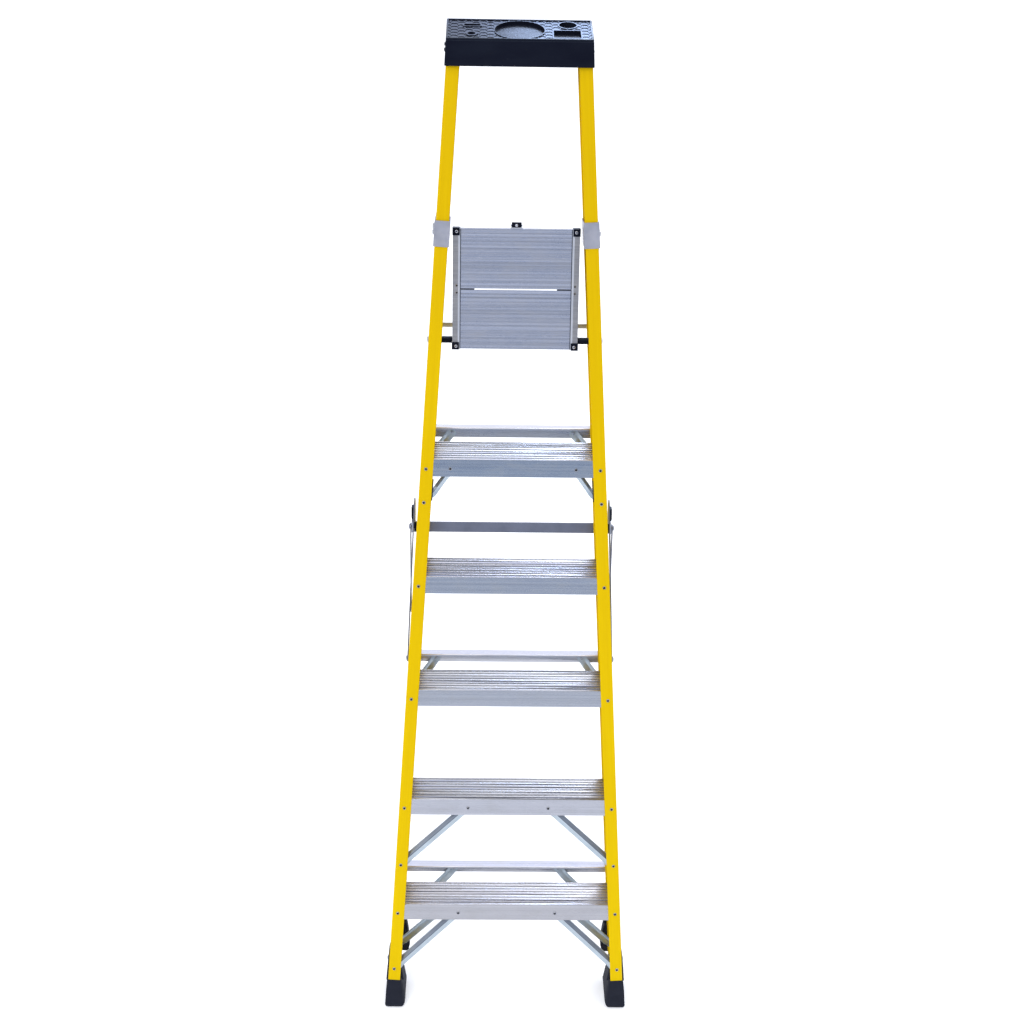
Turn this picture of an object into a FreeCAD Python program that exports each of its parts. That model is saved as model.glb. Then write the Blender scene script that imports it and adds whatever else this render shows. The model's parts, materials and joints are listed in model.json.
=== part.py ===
import FreeCAD, Part
import math
import os
import Sketcher

# Platform step ladder, closed, with its platform folded up between the front rails.
#
# Row frame: X to the right seen from the front, Y towards the rear, Z up. The ladder stands in its
# working attitude, so the front rails lean back by "lean" and the treads are level. Many pieces are
# square to the rails, so places are also given as (x, back, along): "along" runs up the rails from
# the floor line and "back" is square to them, towards the rear. The row origin is on the floor, under
# the middle of the closed ladder.

DRIVING_SIZES = [
    ("lean", 18.0, "degrees that the front rails lean back from upright"),
    ("origin_back", 454.05, "row origin behind the line where the front rails meet the floor"),
    ("splay", 3.43, "degrees that each rail leans in towards the top"),
    ("half_width", 330.0, "centre line to a rail's outer face, at the floor"),
    ("step_pitch", 300.0, "rise from one tread to the next"),
    ("rail_depth", 90.0, "front rail channel, front to back"),
    ("rail_flange", 33.0, "front rail channel, width of its flanges"),
    ("rail_wall", 4.0, "front rail channel, wall"),
    ("rail_round", 3.0, "outer corners of the rail channels"),
    ("tip_round", 1.5, "flange edges of the rail channels"),
    ("rail_bottom", 40.0, "lower end of the front rails, along"),
    ("rail_top", 2600.0, "upper end of the front rails, along"),
    ("rear_gap", 14.0, "gap between front and rear rails when closed"),
    ("rear_depth", 45.4, "rear rail channel, front to back"),
    ("rear_flange", 28.0, "rear rail channel, width of its flanges"),
    ("rear_wall", 3.5, "rear rail channel, wall"),
    ("rear_inset", 1.0, "rear rail's outer face inside the front rail's"),
    ("rear_lean", 9.5, "degrees that the rear rails lean forward when open"),
    ("hinge_along", 2153.0, "hinge between the two frames, along"),
    ("rear_overrun", 24.0, "rear rail beyond the hinge"),
    ("rear_rail_lift", 22.0, "rear rail's lower end above its sole"),
    ("tread_sheet", 2.6, "tread wall"),
    ("tread_apron", 46.0, "tread front apron, along the rail"),
    ("tread_lip", 28.0, "tread rear lip, along the rail"),
    ("rib_height", 1.5, "height of the anti-slip ribs"),
    ("rib_width", 5.0, "width of the anti-slip ribs"),
    ("end_gap", 0.5, "tread end to rail web"),
    ("bar_depth", 38.4, "rear bar, web"),
    ("bar_drop", 34.0, "rear bar, rear flange"),
    ("bar_lip", 5.0, "rear bar, front lip"),
    ("bar_wall", 2.5, "rear bar, wall"),
    ("bar_end_gap", 1.4, "rear bar end to rail web"),
    ("brace_width", 20.0, "knee brace channel, width"),
    ("brace_depth", 9.0, "knee brace channel, depth"),
    ("brace_wall", 1.8, "knee brace channel, wall"),
    ("brace_end", 22.0, "flattened length at a brace's ends"),
    ("deck_half", 157.5, "deck, half its width"),
    ("deck_front", 22.5, "deck ahead of its axle"),
    ("deck_rear", 283.5, "deck behind its axle"),
    ("deck_over", 15.0, "deck surface above its axle"),
    ("deck_thick", 22.0, "deck thickness"),
    ("deck_flange", 20.0, "deck side channel, flange"),
    ("deck_wall", 2.2, "deck side channel, wall"),
    ("plank_gap", 3.2, "gap between the two deck planks"),
    ("joint_inset", 4.2, "plank legs in from the edges at that gap"),
    ("joint_reach", 54.5, "joint plates under the gap, inwards from the deck's sides"),
    ("plank_entry", 13.5, "plank end inside the side channel"),
    ("axle_along", 1880.0, "deck axle, along"),
    ("axle_back", 45.0, "deck axle, back"),
    ("axle_radius", 5.0, "deck axle"),
    ("spacer_radius", 8.5, "deck axle spacer"),
    ("rod_radius", 6.0, "deck support rod"),
    ("cap_low_half", 180.0, "top cap, half its width at the skirt"),
    ("cap_high_half", 176.0, "top cap, half its width at the top"),
    ("cap_depth", 137.0, "top cap, front to back"),
    ("cap_height", 69.0, "top cap"),
    ("cap_bottom", 2432.5, "top cap's skirt above the floor"),
    ("cap_wall", 2.6, "top cap side wall"),
    ("cap_roof", 18.0, "top cap tray thickness"),
    ("cap_ahead", 13.0, "top cap ahead of the rails at its skirt"),
    ("can_radius", 60.0, "round tray recess"),
    ("can_depth", 14.0, "round tray recess, depth"),
    ("tool_radius", 21.0, "large tool hole"),
    ("driver_radius", 9.5, "small tool hole"),
    ("link_width", 20.0, "spreader link, width"),
    ("link_sheet", 3.0, "spreader link, thickness"),
    ("spreader_foot_along", 1016.5, "spreader pivot on the front rail, along"),
    ("spreader_foot_back", 60.0, "spreader pivot on the front rail, back"),
    ("knee_along", 1370.6, "spreader knee, along"),
    ("knee_back", 97.0, "spreader knee, back"),
    ("knee_tongue", 66.0, "front link beyond the knee"),
    ("spreader_rear_along", 1132.0, "spreader pivot on the rear rail, along"),
    ("crossbar_height", 27.0, "spreader cross bar"),
    ("crossbar_sheet", 6.0, "spreader cross bar"),
    ("foot_front_top", 90.0, "front foot, top of its walls, along"),
    ("foot_core_top", 130.0, "front foot, top of its core, along"),
    ("foot_flap_top", 168.0, "front foot, top of its outer flap, along"),
    ("rear_foot_wall", 54.0, "rear foot, height of its walls"),
    ("rear_foot_core", 110.0, "rear foot, height of its core"),
    ("pivot_radius", 5.0, "pivot bolts"),
    ("bush_radius", 8.0, "hinge bush, outer radius"),
    ("bush_length", 6.0, "hinge bush"),
    ("running_gap", 0.08, "radial clearance of a turning fit"),
]

doc = FreeCAD.newDocument("ladder")
sheet = doc.addObject("Spreadsheet::Sheet", "Sizes")
for row, (alias, number, meaning) in enumerate(DRIVING_SIZES, start=1):
    sheet.set(f"A{row}", meaning)
    sheet.set(f"B{row}", str(number))
    sheet.setAlias(f"B{row}", alias)
doc.recompute()

SUB_PARTS = []


def size(alias):
    return float(sheet.get(alias))


LEAN = math.radians(size("lean"))
SPLAY = math.radians(size("splay"))
REAR_FRONT = size("rail_depth") + size("rear_gap")
HINGE_BACK = REAR_FRONT + size("rear_depth") / 2


# ---------------------------------------------------------------- places

def place_at(x, back, along):
    """Row-frame point of a place given square to the rails."""
    return FreeCAD.Vector(
        x,
        along * math.sin(LEAN) + back * math.cos(LEAN) - size("origin_back"),
        along * math.cos(LEAN) - back * math.sin(LEAN),
    )


def outer_x(along):
    """Centre line to the front rails' outer face."""
    return size("half_width") - along * math.tan(SPLAY)


def turn(axis, degrees):
    return FreeCAD.Rotation(FreeCAD.Vector(*axis), degrees)


LEANED = turn((1, 0, 0), -size("lean"))
DECK_UP = turn((1, 0, 0), 90 - size("lean"))


def rail_turn(side):
    return LEANED.multiply(turn((0, 1, 0), -side * size("splay")))


def rail_place(side, back, along, inset=0.0):
    """Placement on a rail's outer face, square to that rail; side is 1 right, -1 left."""
    return FreeCAD.Placement(place_at(side * (outer_x(along) - inset), back, along), rail_turn(side))


def along_x(point, outward):
    """Placement whose own Z axis points along the row's X axis, one way or the other."""
    return FreeCAD.Placement(point, turn((0, 1, 0), 90.0 * outward))


# ---------------------------------------------------------------- building blocks

def keep(item, label):
    """Marks a document object as one sub-part of the ladder."""
    item.Label = label
    SUB_PARTS.append(item)
    return item


def bind(item, **expressions):
    for name, expression in expressions.items():
        item.setExpression(name, expression)


def origin_plane(body, role):
    return next(p for p in body.Origin.OriginFeatures if p.Role == role)


def padded(name, plane, corners, length, backwards=False, rounds=()):
    """Body padded from a straight-sided outline; corners and length are sheet expressions.

    rounds lists (radius expression, corner numbers) for the long edges that are rounded.
    """
    body = doc.addObject("PartDesign::Body", name)
    sketch = body.newObject("Sketcher::SketchObject", name + "_outline")
    sketch.AttachmentSupport = [(origin_plane(body, plane), "")]
    sketch.MapMode = "FlatFace"
    points = [
        FreeCAD.Vector(float(sketch.evalExpression(across)), float(sketch.evalExpression(up)), 0)
        for across, up in corners
    ]
    count = len(points)
    for index in range(count):
        sketch.addGeometry(Part.LineSegment(points[index], points[(index + 1) % count]))
    for index in range(count):
        sketch.addConstraint(Sketcher.Constraint("Coincident", index, 2, (index + 1) % count, 1))
    for index, (across, up) in enumerate(corners):
        for kind, place, expression in (
            ("DistanceX", points[index].x, across),
            ("DistanceY", points[index].y, up),
        ):
            number = sketch.addConstraint(Sketcher.Constraint(kind, -1, 1, index, 1, place))
            sketch.setExpression(f"Constraints[{number}]", expression)
    pad = body.newObject("PartDesign::Pad", name + "_pad")
    pad.Profile = sketch
    pad.Reversed = backwards
    bind(pad, Length=length)
    for radius, numbers in rounds:
        rounded(body, plane, [points[number] for number in numbers], radius)
    return body


def rounded(body, plane, corners, radius):
    """Rounds the padded body's long edges that start at these outline corners."""
    doc.recompute()
    base = body.Tip
    spread = {"XY_Plane": (0, 1), "XZ_Plane": (0, 2), "YZ_Plane": (1, 2)}[plane]
    names = []
    for number, edge in enumerate(base.Shape.Edges, start=1):
        ends = [vertex.Point for vertex in edge.Vertexes]
        if len(ends) < 2:
            continue
        for corner in corners:
            if all(
                abs(end[spread[0]] - corner.x) < 0.01 and abs(end[spread[1]] - corner.y) < 0.01
                for end in ends
            ):
                names.append(f"Edge{number}")
    fillet = body.newObject("PartDesign::Fillet", base.Name + "_round")
    fillet.Base = (base, names)
    bind(fillet, Radius=radius)


def box(name, width, depth, height, placement):
    item = doc.addObject("Part::Box", name)
    bind(item, Length=width, Width=depth, Height=height)
    item.Placement = placement
    return item


def cylinder(name, radius, height, placement):
    item = doc.addObject("Part::Cylinder", name)
    bind(item, Radius=radius, Height=height)
    item.Placement = placement
    return item


def fused(name, pieces):
    item = doc.addObject("Part::MultiFuse", name)
    item.Shapes = pieces
    return item


def cut(name, base, tools):
    item = doc.addObject("Part::Cut", name)
    item.Base = base
    item.Tool = tools[0] if len(tools) == 1 else fused(name + "_tools", tools)
    return item


def crossing_hole(name, back, along, x_from, x_to, radius):
    """Cutter along X between two places."""
    reach = abs(x_to - x_from)
    start = place_at(min(x_from, x_to), back, along)
    return cylinder(name, radius, str(reach), along_x(start, 1))


def turned(outline):
    """Solid of revolution about Z; the outline is a list of (radius, z), a 3-tuple starts an arc."""
    edges = []
    points = [FreeCAD.Vector(p[0], 0, p[1]) for p in outline]
    for index, point in enumerate(points):
        following = points[(index + 1) % len(points)]
        if len(outline[index]) == 3:
            middle = FreeCAD.Vector(outline[index][2][0], 0, outline[index][2][1])
            edges.append(Part.Arc(point, middle, following).toShape())
        else:
            edges.append(Part.makeLine(point, following))
    face = Part.Face(Part.Wire(edges))
    return face.revolve(FreeCAD.Vector(0, 0, 0), FreeCAD.Vector(0, 0, 1), 360)


def domed_pin(head, rise, shank, grip, tail, tail_height):
    """Rivet or bolt: domed head on z = 0, shank downwards through the grip, and a collar."""
    shoulder = (head * 0.8, rise * 0.62)
    return turned([
        (0, rise, shoulder), (head, 0), (shank, 0), (shank, -grip),
        (tail, -grip), (tail, -grip - tail_height), (0, -grip - tail_height),
    ])


def group(label, *sets):
    """Fasteners as one sub-part of separate solids; each set is (shape, placements)."""
    item = doc.addObject("Part::Feature", label)
    copies = []
    for shape, placements in sets:
        for placement in placements:
            copy = shape.copy()
            copy.Placement = placement
            copies.append(copy)
    item.Shape = Part.makeCompound(copies)
    return keep(item, label)


def channel(depth, flange, wall, side):
    """Outline of a rail: web on the outer side, flanges inwards."""
    inward = "-1" if side > 0 else "1"
    edge = f"{inward} * {flange}"
    web = f"{inward} * {wall}"
    return [
        ("0", "0"), (edge, "0"), (edge, wall), (web, wall),
        (web, f"{depth} - {wall}"), (edge, f"{depth} - {wall}"), (edge, depth), ("0", depth),
    ]


def ribbed_top(depth, ribs):
    """Corners of a ribbed surface from its front edge at 0 to its rear edge at depth."""
    corners = []
    pitch = f"({depth} - Sizes.rib_width) / {ribs - 1}"
    for index in range(ribs):
        start = f"{index} * {pitch}"
        corners += [(start, "0"), (f"{start} + Sizes.rib_width", "0")]
        if index < ribs - 1:
            corners += [
                (f"{start} + Sizes.rib_width", "-Sizes.rib_height"),
                (f"{index + 1} * {pitch}", "-Sizes.rib_height"),
            ]
    return corners


SIDES = {"left": -1, "right": 1}
# Outline corners of a rail channel: outer corners, flange tips, inner corners.
CHANNEL_ROUNDS = [("Sizes.rail_round", (0, 7)), ("Sizes.tip_round", (1, 2, 5, 6)), ("1.2", (3, 4))]


# ---------------------------------------------------------------- front frame

RAIL_HOLE = "Sizes.pivot_radius + Sizes.running_gap"
# Cutters reach this far each side of a rail's outer face.
HOLE_REACH = 12.0


def front_rail(name, side):
    outline = channel("Sizes.rail_depth", "Sizes.rail_flange", "Sizes.rail_wall", side)
    length = "(Sizes.rail_top - Sizes.rail_bottom) / cos(Sizes.splay)"
    body = padded(f"front_rail_{name}_channel", "XY_Plane", outline, length, rounds=CHANNEL_ROUNDS)
    body.Placement = rail_place(side, 0, size("rail_bottom"))
    holes = []
    for job, back, along in (
        ("axle", size("axle_back"), size("axle_along")),
        ("spreader", size("spreader_foot_back"), size("spreader_foot_along")),
    ):
        x = side * outer_x(along)
        holes.append(crossing_hole(
            f"{job}_hole_{name}", back, along, x - HOLE_REACH, x + HOLE_REACH, RAIL_HOLE
        ))
    keep(cut(f"front_rail_{name}", body, holes), f"front_rail_{name}")
    return body


def tread(number):
    """Level tread between the rails' flanges; its apron and lip lie against them."""
    depth = "(Sizes.rail_depth - 2 * Sizes.rail_wall - 0.1) / cos(Sizes.lean)"
    sheet_across = "Sizes.tread_sheet / cos(Sizes.lean)"
    under = "-(Sizes.rib_height + Sizes.tread_sheet)"
    shift = "(Sizes.rib_height + Sizes.tread_sheet) * tan(Sizes.lean)"
    fall = "sin(Sizes.lean)"
    drop = "cos(Sizes.lean)"
    corners = ribbed_top(depth, 9) + [
        (f"{depth} - Sizes.tread_lip * {fall}", f"-Sizes.tread_lip * {drop}"),
        (f"{depth} - Sizes.tread_lip * {fall} - {sheet_across}", f"-Sizes.tread_lip * {drop}"),
        (f"{depth} - {shift} - {sheet_across}", under),
        (f"-{shift} + {sheet_across}", under),
        (f"{sheet_across} - Sizes.tread_apron * {fall}", f"-Sizes.tread_apron * {drop}"),
        (f"-Sizes.tread_apron * {fall}", f"-Sizes.tread_apron * {drop}"),
    ]
    height = number * size("step_pitch")
    wall = size("rail_wall")
    along = (height + wall * math.sin(LEAN)) / math.cos(LEAN)
    rear_along = along + (size("rail_depth") - 2 * wall) * math.tan(LEAN)
    half = outer_x(rear_along) - wall / math.cos(SPLAY) - size("end_gap")
    body = padded(f"tread_{number}", "YZ_Plane", corners, str(2 * half), rounds=[("1.2", (0, 33))])
    start = place_at(0, wall, along)
    body.Placement = FreeCAD.Placement(FreeCAD.Vector(-half, start.y, start.z), FreeCAD.Rotation())
    return keep(body, f"tread_{number}")


def brace(label, start, end, back):
    """Knee brace: zinc-plated channel with flattened ends, from (x, along) to (x, along)."""
    run = math.hypot(end[0] - start[0], end[1] - start[1])
    ending = 9.0
    half = "Sizes.brace_width / 2"
    wall = "Sizes.brace_wall"
    deep = "Sizes.brace_depth"
    corners = [
        (f"-{half}", "0"), (half, "0"), (half, deep), (f"{half} - {wall}", deep),
        (f"{half} - {wall}", wall), (f"{wall} - {half}", wall), (f"{wall} - {half}", deep),
        (f"-{half}", deep),
    ]
    body = padded(label + "_channel", "XY_Plane", corners, str(run + 2 * ending))
    slant = math.degrees(math.atan2(end[0] - start[0], end[1] - start[1]))
    rotation = LEANED.multiply(turn((0, 1, 0), slant))
    unit = ((end[0] - start[0]) / run, (end[1] - start[1]) / run)
    first = place_at(start[0] - unit[0] * ending, back, start[1] - unit[1] * ending)
    body.Placement = FreeCAD.Placement(first, rotation)
    tools = []
    for number, lift in enumerate((0.0, run + 2 * ending - size("brace_end"))):
        offset = rotation.multVec(FreeCAD.Vector(-size("brace_width"), size("brace_wall"), lift))
        tools.append(box(
            f"{label}_flat_{number}", "2 * Sizes.brace_width", "Sizes.brace_depth", "Sizes.brace_end",
            FreeCAD.Placement(first.add(offset), rotation),
        ))
    return keep(cut(label, body, tools), label)


# Each knee brace on the front frame: (tread, x of its upper rivet, along of its lower rivet).
FRONT_BRACES = {
    "lower": (1, 132.5, 120.0),
    "middle": (2, 108.0, 437.5),
    "upper": (5, 160.5, 1464.0),
}
# Rivets: from the rail's outer face, below a tread's edge, and rear ones above the front ones.
RIVET_INSET = 14.5
RIVET_DROP = 24.0
REAR_RIVET_LIFT = 20.0
# A brace's lower end is this far inside its rivet.
BRACE_IN = 3.0


def rivet_along(number):
    """Height along the rail of the rivets that hold a tread."""
    return number * size("step_pitch") / math.cos(LEAN) - RIVET_DROP


def front_braces():
    behind = size("rail_wall") + size("tread_sheet")
    for name, (number, x, low) in FRONT_BRACES.items():
        for side_name, side in SIDES.items():
            brace(
                f"front_brace_{name}_{side_name}",
                (side * (outer_x(low) - RIVET_INSET - BRACE_IN), low),
                (side * x, rivet_along(number)),
                behind,
            )


# The bottom tread is also braced behind: x and along of the upper rivet, along of the lower one.
TREAD_BRACE = (117.0, 323.0, 149.0)
LIP_CLEARANCE = 0.2


def tread_braces():
    """Knee braces between the bottom tread's rear lip and the rails' rear flanges."""
    x, high, low = TREAD_BRACE
    back = size("rail_depth") - size("rail_wall") - size("tread_sheet") - LIP_CLEARANCE
    for side_name, side in SIDES.items():
        start = (side * (outer_x(low) - RIVET_INSET - BRACE_IN), low)
        reversed_brace(f"tread_brace_{side_name}", start, (side * x, high), back)


def front_rivets():
    """Rivets through the flanges, treads and braces, all alike."""
    shape = domed_pin(head=4.6, rise=2.2, shank=2.4, grip=9.0, tail=3.4, tail_height=1.4)
    facing_front = LEANED.multiply(turn((1, 0, 0), 90))
    facing_rear = LEANED.multiply(turn((1, 0, 0), -90))
    places = []
    for side in SIDES.values():
        for number in range(1, 6):
            along = rivet_along(number)
            x = side * (outer_x(along) - RIVET_INSET)
            places.append(FreeCAD.Placement(place_at(x, 0, along), facing_front))
            behind = place_at(x, size("rail_depth"), along + REAR_RIVET_LIFT)
            places.append(FreeCAD.Placement(behind, facing_rear))
        for number, x, low in FRONT_BRACES.values():
            place = place_at(side * (outer_x(low) - RIVET_INSET), 0, low)
            places.append(FreeCAD.Placement(place, facing_front))
            place = place_at(side * x, size("rail_wall"), rivet_along(number))
            places.append(FreeCAD.Placement(place, facing_front))
        x, high, low = TREAD_BRACE
        lip_face = size("rail_depth") - size("rail_wall")
        places.append(FreeCAD.Placement(place_at(side * x, lip_face, high), facing_rear))
        low_x = side * (outer_x(low) - RIVET_INSET - BRACE_IN)
        places.append(FreeCAD.Placement(place_at(low_x, size("rail_depth"), low), facing_rear))
    group("front_frame_rivets", (shape, places))


def boot(label, side, blocks, start_along):
    """Blocks of a rubber boot, placed from the front rail's outer face at the floor line."""
    turning = rail_turn(side)
    pieces = []
    for job, (out, inward, back, depth, top) in blocks.items():
        corner = FreeCAD.Vector(-inward if side > 0 else -out, back, start_along)
        base = place_at(side * outer_x(0), 0, 0).add(turning.multVec(corner))
        pieces.append(box(f"{label}_{job}", str(out + inward), depth, top,
                          FreeCAD.Placement(base, turning)))
    return fused(f"{label}_whole", pieces)


def front_foot(name, side, rail):
    """Rubber boot around the rail's lower end, cut level with the floor."""
    # Each block: furthest out, furthest in, start back, depth, top.
    blocks = {
        "wall": (5.0, 54.0, -6.0, "Sizes.rail_depth + 14", "Sizes.foot_front_top"),
        "core": (-4.5, 50.0, 18.0, "Sizes.rail_depth - 24", "Sizes.foot_core_top"),
        "flap": (4.5, 0.0, 12.0, "Sizes.rail_depth - 24", "Sizes.foot_flap_top"),
    }
    whole = boot(f"front_foot_{name}", side, blocks, 0.0)
    below = place_at(0, 0, 0).add(FreeCAD.Vector(-400, -300, -200))
    ground = box(f"floor_under_{name}", "800", "800", "200",
                 FreeCAD.Placement(below, FreeCAD.Rotation()))
    return keep(cut(f"front_foot_{name}", whole, [rail, ground]), f"front_foot_{name}")


def foot_bolts(label, backs_and_alongs, inset, head_out):
    shape = domed_pin(head=7.0, rise=3.4, shank=3.0, grip=12.0, tail=5.0, tail_height=3.0)
    places = []
    for side in SIDES.values():
        for back, along in backs_and_alongs:
            x = side * (outer_x(along) - inset + head_out)
            places.append(along_x(place_at(x, back, along), side))
    group(label, (shape, places))


def top_cap():
    """Hollow tool tray over the upper ends of the front rails."""
    skirt_along = size("cap_bottom") / math.cos(LEAN)
    front_y = place_at(0, 0, skirt_along).y - size("cap_ahead")
    upright = turn((1, 0, 0), 90)
    rear_corner = FreeCAD.Vector(0, front_y + size("cap_depth"), size("cap_bottom"))

    def wedge(name, side_wall, end_wall, bottom, roof):
        item = doc.addObject("Part::Wedge", name)
        low = f"Sizes.cap_low_half - {side_wall}"
        high = f"Sizes.cap_high_half - {side_wall}"
        bind(
            item,
            Xmin=f"-({low})", Xmax=low, X2min=f"-({high})", X2max=high,
            Ymin=bottom, Ymax=f"Sizes.cap_height - {roof}",
            Zmin=end_wall, Zmax=f"Sizes.cap_depth - {end_wall}",
            Z2min=f"{end_wall} + 2", Z2max=f"Sizes.cap_depth - {end_wall} - 1",
        )
        item.Placement = FreeCAD.Placement(rear_corner, upright)
        return item

    outer = wedge("cap_outer", "0", "0", "0", "0")
    inner = wedge("cap_inner", "Sizes.cap_wall", "3", "-1", "Sizes.cap_roof")
    top = size("cap_bottom") + size("cap_height")
    level = FreeCAD.Rotation()

    def round_cutter(name, x, from_front, radius, depth):
        base = FreeCAD.Vector(x, front_y + from_front, top - size(depth))
        return cylinder(name, f"Sizes.{radius}", f"Sizes.{depth} + 1", FreeCAD.Placement(base, level))

    def box_cutter(name, x, from_front, width, length, depth):
        base = FreeCAD.Vector(x - width / 2, front_y + from_front - length / 2, top - depth)
        return box(name, str(width), str(length), str(depth + 1), FreeCAD.Placement(base, level))

    tools = [
        inner,
        round_cutter("can_recess", 0, 63, "can_radius", "can_depth"),
        round_cutter("tool_hole", 116.5, 99, "tool_radius", "cap_roof"),
        round_cutter("driver_hole", -115.5, 36, "driver_radius", "cap_roof"),
        box_cutter("blade_slot", -113.5, 93, width=40, length=13, depth=size("cap_roof") + 1),
        box_cutter("pocket", 113.5, 36, width=65, length=52, depth=13),
    ]
    keep(cut("top_cap", outer, tools), "top_cap")


# Cap bolts on each side: back from the rail's front face, and lift above the skirt.
CAP_BOLTS = [(34.0, 20.0), (64.0, 22.0)]


def cap_bolts():
    """Two domed bolts a side, through the cap's skirt and the rail's web."""
    shape = domed_pin(head=5.5, rise=2.6, shank=2.6, grip=7.0, tail=4.6, tail_height=2.5)
    places = []
    for side in SIDES.values():
        for back, lift in CAP_BOLTS:
            along = (size("cap_bottom") + lift + back * math.sin(LEAN)) / math.cos(LEAN)
            taper = (size("cap_low_half") - size("cap_high_half")) / size("cap_height")
            x = side * (size("cap_low_half") - lift * taper + 0.2)
            places.append(along_x(place_at(x, back, along), side))
    return shape, places


BRACKET_SHEET = 3.0
BRACKET_HEIGHT = 64.0


def hinge_bracket(name, side):
    """Folded steel sleeve round the front rail, with a cheek that carries the rear rail."""
    thick = BRACKET_SHEET
    inward = -side
    cheek = HINGE_BACK + 22.0
    flange = size("rail_flange")
    corners = [
        (inward * (flange + thick), -thick), (-inward * thick, -thick), (-inward * thick, cheek),
        (0, cheek), (0, 0), (inward * flange, 0), (inward * flange, size("rail_depth") + 2.0),
        (inward * (flange + thick), size("rail_depth") + 2.0),
    ]
    body = padded(
        f"hinge_bracket_{name}_sleeve", "XY_Plane", [(str(x), str(y)) for x, y in corners],
        str(BRACKET_HEIGHT),
    )
    body.Placement = rail_place(side, 0, size("hinge_along") - BRACKET_HEIGHT / 2)
    x = side * outer_x(size("hinge_along"))
    hole = crossing_hole(f"hinge_hole_{name}", HINGE_BACK, size("hinge_along"), x - 9, x + 9, RAIL_HOLE)
    keep(cut(f"hinge_bracket_{name}", body, [hole]), f"hinge_bracket_{name}")


def bracket_bolts():
    """Two domed bolts a side, through the hinge sleeve and the rail's web."""
    shape = domed_pin(head=6.0, rise=3.0, shank=3.0, grip=9.0, tail=5.0, tail_height=2.5)
    places = []
    for side in SIDES.values():
        for back in (24.0, 68.0):
            along = size("hinge_along")
            x = side * (outer_x(along) + BRACKET_SHEET + 0.1)
            places.append(along_x(place_at(x, back, along), side))
    return shape, places


def hinge_bolts():
    """Bolts that the rear frame swings on; the collar lies inside the rear rail."""
    bolt = size("pivot_radius")
    shape = domed_pin(head=9.0, rise=4.6, shank=bolt, grip=11.6, tail=8.0, tail_height=5.0)
    along = size("hinge_along")
    x = outer_x(along) + BRACKET_SHEET + 0.7
    group("hinge_bolts", (shape, [
        along_x(place_at(side * x, HINGE_BACK, along), side) for side in SIDES.values()
    ]))


def deck_axle():
    """Rod that the deck turns on, upset at both ends outside the rails."""
    along = size("axle_along")
    half = outer_x(along) + 0.8
    shank = size("axle_radius")
    end = domed_pin(
        head=9.0, rise=4.0, shank=shank, grip=half / 2, tail=shank + 0.001, tail_height=half / 2
    )
    halves = []
    for side in SIDES.values():
        piece = end.copy()
        piece.Placement = along_x(place_at(side * half, size("axle_back"), along), side)
        halves.append(piece)
    item = doc.addObject("Part::Feature", "deck_axle")
    item.Shape = halves[0].fuse(halves[1]).removeSplitter()
    keep(item, "deck_axle")


def axle_spacers():
    """Black sleeves that keep the deck centred between the rails."""
    along = size("axle_along")
    start = size("deck_half") + 0.4
    end = outer_x(along) - size("rail_wall") - 1.0
    bore = size("axle_radius") + size("running_gap") / 2
    outer = size("spacer_radius")
    shape = turned([(bore, start), (outer, start), (outer, end), (bore, end)])
    group("deck_axle_spacers", (shape, [
        along_x(place_at(0, size("axle_back"), along), side) for side in SIDES.values()
    ]))


# ---------------------------------------------------------------- spreader

LINK_FOOT_OUT = 2.2
LINK_KNEE_X = 257.5
REAR_LINK_X = 263.0


def spreader_frame():
    """Front link's foot and knee in side view, its length and its slope."""
    foot = place_at(0, size("spreader_foot_back"), size("spreader_foot_along"))
    knee = place_at(0, size("knee_back"), size("knee_along"))
    reach = knee.sub(foot)
    return foot, knee, reach.Length, math.degrees(math.atan2(reach.y, reach.z))


def plate(name, length, beyond, placement, hole_radius):
    """Flat bar with round ends along its own Z, drilled at z = 0."""
    width = "Sizes.link_width"
    sheet_x = "Sizes.link_sheet"
    radius = "Sizes.link_width / 2"

    def local(x, y, z, rotation=FreeCAD.Rotation()):
        return placement.multiply(FreeCAD.Placement(FreeCAD.Vector(x, y, z), rotation))

    across = turn((0, 1, 0), 90)
    bar = box(name + "_bar", sheet_x, width, str(length + beyond),
              local(0, -size("link_width") / 2, 0))
    ends = [
        cylinder(f"{name}_end_{number}", radius, sheet_x, local(0, 0, z, across))
        for number, z in enumerate((0, length + beyond))
    ]
    hole = cylinder(name + "_hole", hole_radius, "3 * Sizes.link_sheet",
                    local(-size("link_sheet"), 0, 0, across))
    return cut(name, fused(name + "_whole", [bar] + ends), [hole])


def spreader_front_link(name, side):
    foot, _, length, slope = spreader_frame()
    foot_x = outer_x(size("spreader_foot_along")) + LINK_FOOT_OUT
    tilt = math.degrees(math.asin((foot_x - LINK_KNEE_X) / length))
    rotation = turn((1, 0, 0), -slope).multiply(turn((0, 1, 0), -side * tilt))
    offset = rotation.multVec(FreeCAD.Vector(-size("link_sheet") / 2, 0, 0))
    base = FreeCAD.Vector(side * foot_x, foot.y, foot.z).add(offset)
    item = plate(f"spreader_front_link_{name}", length, size("knee_tongue"),
                 FreeCAD.Placement(base, rotation), "Sizes.pivot_radius + 0.3")
    keep(item, f"spreader_front_link_{name}")


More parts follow.
